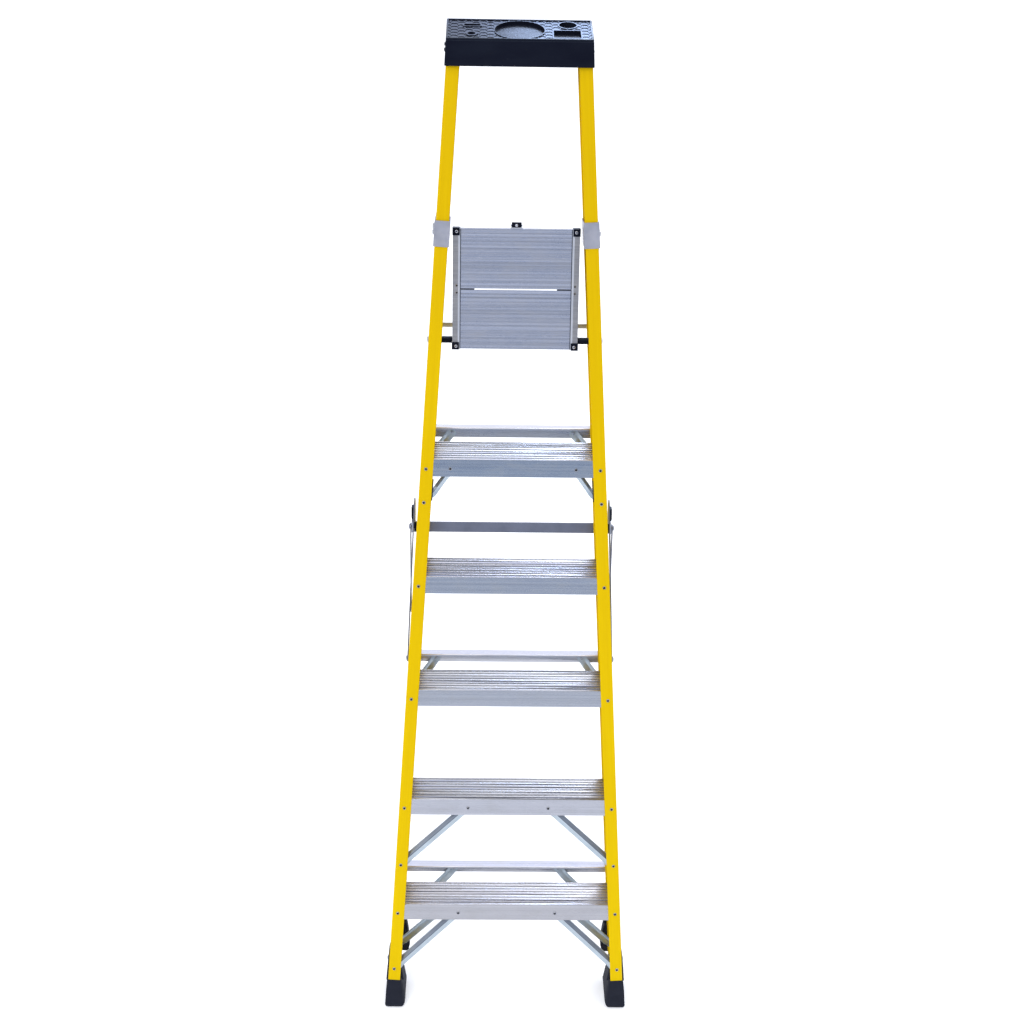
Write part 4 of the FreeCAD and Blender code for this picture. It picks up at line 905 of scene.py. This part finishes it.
# Distance from a brace's tip, share of its width, share of its full depth.
BRACE_ENDS = [
    (0.0002, 0.16, 0.0), (0.0012, 0.47, 0.0), (0.0028, 0.69, 0.0), (0.005, 0.87, 0.0),
    (0.0075, 0.97, 0.0), (0.010, 1.0, 0.0), (0.020, 1.0, 0.0), (0.027, 1.0, 0.45), (0.034, 1.0, 1.0),
]


def brace_axes(node):
    """A CAD brace's web centre, its unit axes (along, down across, away from the web) and sizes."""
    points = solids(node)[0]
    centre, _, axes = main_axes(points)
    along, across, inward = axes[:, 2], axes[:, 1], axes[:, 0]
    if along[2] < 0:
        along = -along
    if across[2] > 0:
        across = -across
    reach, depth, side = ((points - centre) @ axis for axis in (along, inward, across))
    half_way, length = (reach.max() + reach.min()) / 2, reach.max() - reach.min()
    tips = depth[np.abs(reach - half_way) > length / 2 - TIP_LENGTH]
    if tips.mean() > (depth.max() + depth.min()) / 2:
        inward, depth = -inward, -depth
    middle = centre + along * half_way + inward * depth.min() + across * (side.max() + side.min()) / 2
    return (Vector(middle), Vector(along), Vector(across), Vector(inward),
            float(length), float(side.max() - side.min()) / 2, float(depth.max() - depth.min()))


def formed_brace(node, body, trim=0.0, widen=1.0, drop=0.0):
    """Pressed brace with a folded section and flat, round ends.

    trim shortens its lower end, widen scales its width and drop moves it down across itself.
    """
    middle, along, across, inward, length, half, deep = brace_axes(node)
    start, end, half, middle = trim - length / 2, length / 2, half * widen, middle + across * drop
    stations = [(start + away, wide, form) for away, wide, form in BRACE_ENDS]
    stations += [(end - away, wide, form) for away, wide, form in reversed(BRACE_ENDS)]
    work = bmesh.new()
    rings = []
    for place, wide, form in stations:
        outer = [
            middle + along * place + across * half * share * wide + inward * depth * deep * form
            for share, depth in BRACE_SECTION
        ]
        rings.append(outer + [point + inward * BRACE_SHEET for point in reversed(outer)])
    loft(work, rings, BRACE_SHADES)
    shown(node + "_pressing", meshed(node, work), BRACES, body, [node], edge=0.0003)


for node in NODES:
    if node.startswith("front_brace_upper"):
        formed_brace(node, "front_frame", trim=0.028, widen=0.84, drop=0.0034)
    elif "brace" in node:
        formed_brace(node, "rear_frame" if node.startswith("rear") else "front_frame", widen=1.18)

# ---------------------------------------- knee grips and small plates

# Bars at the spreader's knees: size across X, size along Y and rounding of the corners.
KNEE_BOSS = (0.0060, 0.019, 0.002)
TONGUE = (0.0040, 0.015, 0.002)
GRIP = (0.0068, 0.017, 0.003)
GRIP_RIDGE = (0.0076, 0.0182, 0.003)
RIDGE_SHARES = (0.25, 0.4, 0.55, 0.7)
RIDGE_HALF = Vector((0, 0, 0.0012))
# The boss lies this far inside the knee pins' ends and reaches this far below and above the knee.
BOSS_INSET = 0.0034
BOSS_BELOW, BOSS_ABOVE = 0.012, 0.017
# The tongue's tip: distance from the centre line, in front of and below the front link's end.
TONGUE_X = 0.2535
TONGUE_TIP = Vector((0, 0.0085, 0.001))
TONGUE_LENGTH = 0.060
LINK_HALF = Vector((0, 0.008, 0.001))
GRIP_INSET = 0.0006
GRIP_ENDS = 0.008
# Half the section of the crossbar's end blocks, and how far they reach in and out of its ends.
BLOCK_HALF = (0.0038, 0.0142)
BLOCK_IN, BLOCK_OUT = 0.0065, 0.0004
CATCH_SCREW = {"radius": 0.0038, "length": 0.004}
CATCH_FACE, SCREW_PROUD = 0.0021, 0.0014
# Upper brace clip, in millimetres from the rail's outer face: the flange's edge, the clip's width
# behind it and its lap over it, its depth and its stretch along the rail.
FLANGE_EDGE = 33.0
CLIP_WIDTH, CLIP_LAP = 20.0, 3.0
CLIP_DEPTH = (4.3, 6.3)
CLIP_ALONG = (1473.0, 1530.0)


def bar_between(work, low, high, width, depth, radius):
    """Upright bar with rounded corners and slightly drawn-in ends, from low to high."""
    # Distance from an end, share of the full size.
    steps = [(0.0, 0.7), (0.0012, 1.0)]
    length = (high - low).length
    rings = []
    for away, share in steps + [(length - away, share) for away, share in reversed(steps)]:
        centre = low.lerp(high, away / length)
        corners = rounded(rectangle(
            -width * share / 2, width * share / 2, -depth * share / 2, depth * share / 2), radius)
        rings.append([centre + Vector((point.x, point.y, 0)) for point in corners])
    loft(work, rings)


def knee_plates(name, side):
    """The boss at one knee and the tongue with the tip above it."""
    pins_low, pins_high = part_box("spreader_knee_pins")
    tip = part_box("spreader_front_link_right")[1]
    knee = Vector((0, (pins_low.y + pins_high.y) / 2, (pins_low.z + pins_high.z) / 2))
    rise = (Vector((0, tip.y, tip.z)) - LINK_HALF - knee).normalized()
    work = bmesh.new()
    middle = knee + Vector((side * (pins_high.x - BOSS_INSET), 0, 0))
    bar_between(work, middle - rise * BOSS_BELOW, middle + rise * BOSS_ABOVE, *KNEE_BOSS)
    end = Vector((side * TONGUE_X, tip.y, tip.z)) - TONGUE_TIP
    bar_between(work, end - rise * TONGUE_LENGTH, end, *TONGUE)
    shown(f"knee_plates_{name}", meshed(f"knee_plates_{name}", work), [MATERIALS["zinc_steel"]],
          "spreader_front")


def knee_grip(name, side):
    """Ridged finger pad on one tongue."""
    low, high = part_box("spreader_grips")
    x = side * (high.x - GRIP[0] / 2 - GRIP_INSET)
    work = bmesh.new()
    foot, head = Vector((x, low.y + GRIP_ENDS, low.z)), Vector((x, high.y - GRIP_ENDS, high.z))
    bar_between(work, foot, head, *GRIP)
    for share in RIDGE_SHARES:
        place = foot.lerp(head, share)
        bar_between(work, place - RIDGE_HALF, place + RIDGE_HALF, *GRIP_RIDGE)
    shown(f"knee_grip_{name}", meshed(f"knee_grip_{name}", work), [MATERIALS["black_plastic"]],
          "spreader_front")


def crossbar_end(name, side):
    """Black block on one end of the bar that joins the two knees."""
    low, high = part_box("spreader_crossbar")
    middle = (low + high) / 2
    behind = Vector((0, math.cos(LEAN), -math.sin(LEAN)))
    upwards = Vector((0, math.sin(LEAN), math.cos(LEAN)))
    half_depth, half_height = BLOCK_HALF
    outline = rounded(rectangle(-half_depth, half_depth, -half_height, half_height), 0.0015)
    work = bmesh.new()
    loft(work, [
        [Vector((side * x, middle.y, middle.z)) + behind * point.x + upwards * point.y
         for point in outline] for x in (high.x - BLOCK_IN, high.x + BLOCK_OUT)
    ])
    shown(f"crossbar_end_{name}", meshed(f"crossbar_end_{name}", work),
          [MATERIALS["black_plastic"]], "spreader_front", edge=0.0004)


def brace_clip(name, side):
    """Dark plate that ties the upper brace to the rail's front flange."""
    corners = rectangle(FLANGE_EDGE - CLIP_WIDTH, FLANGE_EDGE + CLIP_LAP, *CLIP_DEPTH)
    work = bmesh.new()
    loft(work, [[rail_point(side, x, back, along) for x, back in corners] for along in CLIP_ALONG])
    shown(f"brace_clip_{name}", meshed(f"brace_clip_{name}", work), [RECESS_SHADE_AND_CLIP],
          "front_frame", edge=0.0003)


def catch_screw():
    """Bright screw on the front of the platform's catch."""
    low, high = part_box("deck_catch")
    outward = Vector((0.0, -math.cos(LEAN), math.sin(LEAN)))
    place = Vector((0.0, low.y + CATCH_FACE, (low.z + high.z) / 2)) + outward * SCREW_PROUD
    work = bmesh.new()
    dome_bolt(work, place, outward, **CATCH_SCREW)
    shown("catch_screw", meshed("catch_screw", work), [MATERIALS["fastener"]], "catch")


for make in (knee_plates, knee_grip, crossbar_end, brace_clip):
    for side_name, side_sign in SIDES.items():
        make(side_name, side_sign)
catch_screw()

# ---------------------------------------- studio

FLOOR_SIZE = 60.0
FLOOR_DROP = 0.0005
# The walls in front give way to the ceiling behind between these directions' Y.
WORLD_TURN = (-0.30, 0.20)
# Place, aim, width, height, power and tint of each softbox.
SOFTBOXES = {
    "key": ((-2.5, -3.5, 5.5), (0.0, 0.0, 1.2), 3.0, 3.0, 120.0, (1.0, 1.0, 1.0)),
    "rim": ((2.5, 4.0, 4.5), (0.0, 0.0, 1.5), 4.0, 3.0, 120.0, (0.95, 0.97, 1.0)),
    "tray_light": ((0.42, 1.45, 2.99), (0.10, 0.39, 2.50), 0.9, 0.26, 6.2, (0.52, 0.68, 1.0)),
}
# Camera: place, turn to the right, tilt down and roll in degrees, focal length on a 36 mm sensor.
CAMERA_PLACE = (-0.0955, -3.9169, 4.0626)
CAMERA_ANGLES = (1.378, 34.55, 1.32)
SENSOR_WIDTH = 36.0
FOCAL_LENGTH = 65.04


def pale_floor():
    mesh = bpy.data.meshes.new("studio_floor")
    work = bmesh.new()
    bmesh.ops.create_grid(work, x_segments=4, y_segments=4, size=FLOOR_SIZE)
    work.to_mesh(mesh)
    work.free()
    item = bpy.data.objects.new("studio_floor", mesh)
    bpy.context.scene.collection.objects.link(item)
    item.location.z = -FLOOR_DROP
    graph = Graph("studio_floor", roughness=0.9, specular=0.1)
    mottle = graph.noise((0.8, 0.8, 0.8), detail=3)
    white = graph.mix(graph.spread(mottle, 0.3, 0.7), rgb(0.93, 0.93, 0.935), rgb(0.95, 0.95, 0.95))
    graph.finish(Base_Color=white, Emission_Color=rgb(1, 1, 1), Emission_Strength=0.22)
    assign(item, graph.material)


def studio_light():
    """Soft world: cool walls in front, a bright ceiling behind; plain white to the camera itself."""
    world = bpy.data.worlds.new("studio")
    bpy.context.scene.world = world
    world.use_nodes = True
    tree = world.node_tree
    background = tree.nodes["Background"]
    coords = tree.nodes.new("ShaderNodeTexCoord").outputs["Generated"]
    split = tree.nodes.new("ShaderNodeSeparateXYZ")
    tree.links.new(coords, split.inputs[0])

    def ramp(source, stops):
        made = tree.nodes.new("ShaderNodeValToRGB")
        tree.links.new(source, made.inputs["Fac"])
        elements = made.color_ramp.elements
        while len(elements) < len(stops):
            elements.new(0.5)
        for element, (position, colour) in zip(elements, stops):
            element.position = position
            element.color = colour
        return made.outputs["Color"]

    ahead = ramp(split.outputs["Z"], [
        (0.0, rgb(0.44, 0.55, 0.78)), (0.12, rgb(0.52, 0.63, 0.84)), (0.40, rgb(0.66, 0.72, 0.86)),
        (1.0, rgb(1.0, 1.0, 1.0)),
    ])
    behind = ramp(split.outputs["Z"], [
        (0.0, rgb(0.85, 0.93, 1.15)), (0.36, rgb(0.86, 0.98, 1.42)), (0.50, rgb(1.32, 1.33, 1.37)),
        (0.62, rgb(1.5, 1.5, 1.52)), (0.80, rgb(1.2, 1.2, 1.2)),
    ])
    turn = tree.nodes.new("ShaderNodeMapRange")
    turn.interpolation_type = "SMOOTHSTEP"
    turn.inputs["From Min"].default_value, turn.inputs["From Max"].default_value = WORLD_TURN
    tree.links.new(split.outputs["Y"], turn.inputs["Value"])
    mix = tree.nodes.new("ShaderNodeMix")
    mix.data_type = "RGBA"
    tree.links.new(turn.outputs["Result"], mix.inputs[0])
    tree.links.new(ahead, mix.inputs[6])
    tree.links.new(behind, mix.inputs[7])
    plain = tree.nodes.new("ShaderNodeMix")
    plain.data_type = "RGBA"
    plain.inputs[7].default_value = rgb(1.0, 1.0, 1.0)
    seen = tree.nodes.new("ShaderNodeLightPath").outputs["Is Camera Ray"]
    tree.links.new(seen, plain.inputs[0])
    tree.links.new(mix.outputs[2], plain.inputs[6])
    tree.links.new(plain.outputs[2], background.inputs["Color"])
    background.inputs["Strength"].default_value = 1.0


def softbox(name, place, aim, width, height, power, tint):
    light = bpy.data.lights.new(name, "AREA")
    light.shape = "RECTANGLE"
    light.size = width
    light.size_y = height
    light.energy = power
    light.color = tint
    item = bpy.data.objects.new(name, light)
    bpy.context.scene.collection.objects.link(item)
    item.location = place
    item.rotation_mode = "QUATERNION"
    item.rotation_quaternion = (Vector(aim) - Vector(place)).to_track_quat("-Z", "Y")
    item.visible_camera = False


def photographer():
    """Camera high in front of the ladder, looking down, with a slight roll."""
    yaw, down, roll = (math.radians(value) for value in CAMERA_ANGLES)
    forward = Vector((
        math.sin(yaw) * math.cos(down), math.cos(yaw) * math.cos(down), -math.sin(down)
    ))
    level = Vector((math.cos(yaw), -math.sin(yaw), 0.0))
    above = level.cross(forward)
    right = math.cos(roll) * level + math.sin(roll) * above
    up = math.cos(roll) * above - math.sin(roll) * level
    camera = bpy.data.cameras.new("camera")
    camera.sensor_width = SENSOR_WIDTH
    camera.lens = FOCAL_LENGTH
    camera.clip_end = 100.0
    item = bpy.data.objects.new("camera", camera)
    bpy.context.scene.collection.objects.link(item)
    axes = Matrix((right, up, -forward)).transposed().to_4x4()
    item.matrix_world = Matrix.Translation(CAMERA_PLACE) @ axes
    bpy.context.scene.camera = item


pale_floor()
studio_light()
for light_name, settings in SOFTBOXES.items():
    softbox(light_name, *settings)
photographer()
bpy.context.scene.view_settings.view_transform = "Standard"
